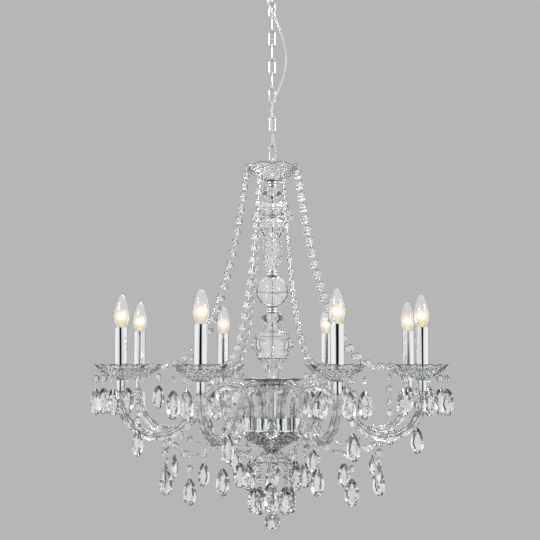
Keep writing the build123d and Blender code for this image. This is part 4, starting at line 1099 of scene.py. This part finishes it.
# %% Studio
BACKDROP = "#B6B6B6"
THROUGH_GLASS = 0.15
WALL_TONES = [
    (0.0, 0.006), (0.096, 0.008), (0.106, 0.68), (0.20, 0.95), (0.40, 1.05), (0.56, 1.0), (0.70, 0.95),
    (0.765, 0.85), (0.78, 0.02), (0.855, 0.02), (0.88, 0.64), (1.0, 0.70),
]
LEVEL_TONES = [
    (0.0, 0.07, 1.0), (0.10, 0.07, 1.0), (0.11, 1.0, 1.0), (0.17, 1.0, 1.0), (0.18, 0.07, 1.0),
    (0.29, 0.07, 1.0), (0.35, 0.07, 0.0), (0.65, 0.85, 0.0), (0.71, 0.85, 1.0), (1.0, 0.85, 1.0),
]
world = bpy.data.worlds.new("grey_studio")
world.use_nodes = True
scene.world = world
sky = world.node_tree
sky.nodes.clear()
ray_way = add_node(sky, "ShaderNodeTexCoord").outputs["Generated"]
ray = add_node(sky, "ShaderNodeSeparateXYZ", (), {"Vector": ray_way}).outputs
round_way = calc(sky, "ARCTAN2", calc(sky, "ABSOLUTE", ray["X"]), calc(sky, "MULTIPLY", ray["Y"], -1.0))
wall_stops = [(spot, (tone, tone, tone, 1.0)) for spot, tone in WALL_TONES]
walls = tone_ramp(sky, calc(sky, "DIVIDE", round_way, pi), wall_stops)
level_stops = [(spot, (tone, tone, tone, weight)) for spot, tone, weight in LEVEL_TONES]
levels = tone_ramp(sky, spread(sky, ray["Z"], 0.0, 1.0, -1.0), level_stops)
room_links = {0: levels["Alpha"], 6: walls["Color"], 7: levels["Color"]}
room = add_node(sky, "ShaderNodeMix", {"data_type": "RGBA"}, room_links)
light_path = add_node(sky, "ShaderNodeLightPath").outputs
calmed = calc(sky, "MULTIPLY", light_path["Is Transmission Ray"], THROUGH_GLASS)
grey = hex_colour(BACKDROP)
seen_room = add_node(sky, "ShaderNodeMix", {"data_type": "RGBA", 7: grey}, {0: calmed, 6: room.outputs[2]})
room_light = add_node(sky, "ShaderNodeBackground", (), {"Color": seen_room.outputs[2]})
backdrop = add_node(sky, "ShaderNodeBackground", {"Color": grey})
seen_links = {0: light_path["Is Camera Ray"], 1: room_light.outputs[0], 2: backdrop.outputs[0]}
end_shader(sky, add_node(sky, "ShaderNodeMixShader", (), seen_links), "ShaderNodeOutputWorld")


def soft_lamp(name, place, size, watts):
    """A square lamp that faces the chandelier and isn't seen itself."""
    lamp = bpy.data.lights.new(name, "AREA")
    lamp.size = size
    lamp.energy = watts
    thing = add_object(name, lamp)
    thing.location = place
    aim = Vector((0, 0, EYE_LEVEL)) - Vector(place)
    thing.rotation_euler = aim.to_track_quat("-Z", "Y").to_euler()
    thing.visible_camera = False


soft_lamp("key_lamp", (-1.6, -1.8, 0.6), 0.5, 26)
soft_lamp("fill_lamp", (1.9, -1.5, 0.2), 0.6, 14)
soft_lamp("rim_lamp", (0.4, 1.9, 0.9), 0.5, 16)
FLOOR_LEVEL, FLOOR_RADIUS, FLOOR_GRAIN_MM = -2.6, 3.0, 1000 / 12
floor_shape = bmesh.new()
bmesh.ops.create_circle(floor_shape, cap_ends=True, segments=64, radius=FLOOR_RADIUS)
floor_mesh = plain_mesh("pale_floor", floor_shape)
floor_mesh.transform(Matrix.Translation((0, 0, FLOOR_LEVEL)))
floor_finish, floor_tree = new_material("pale_painted_floor")
floor_stops = [(0.0, hex_colour("#C2C2C2")), (1.0, hex_colour("#CBCBCB"))]
floor_tone = tone_ramp(floor_tree, noise(floor_tree, FLOOR_GRAIN_MM, 3.0), floor_stops)
principled(floor_tree, {"Roughness": 0.8}, {"Base Color": floor_tone["Color"]})
floor_mesh.materials.append(floor_finish)
floor = add_object("pale_floor", floor_mesh)
floor.visible_transmission = False
floor.visible_glossy = False
scene.view_settings.view_transform = "Standard"
print("studio", BACKDROP)
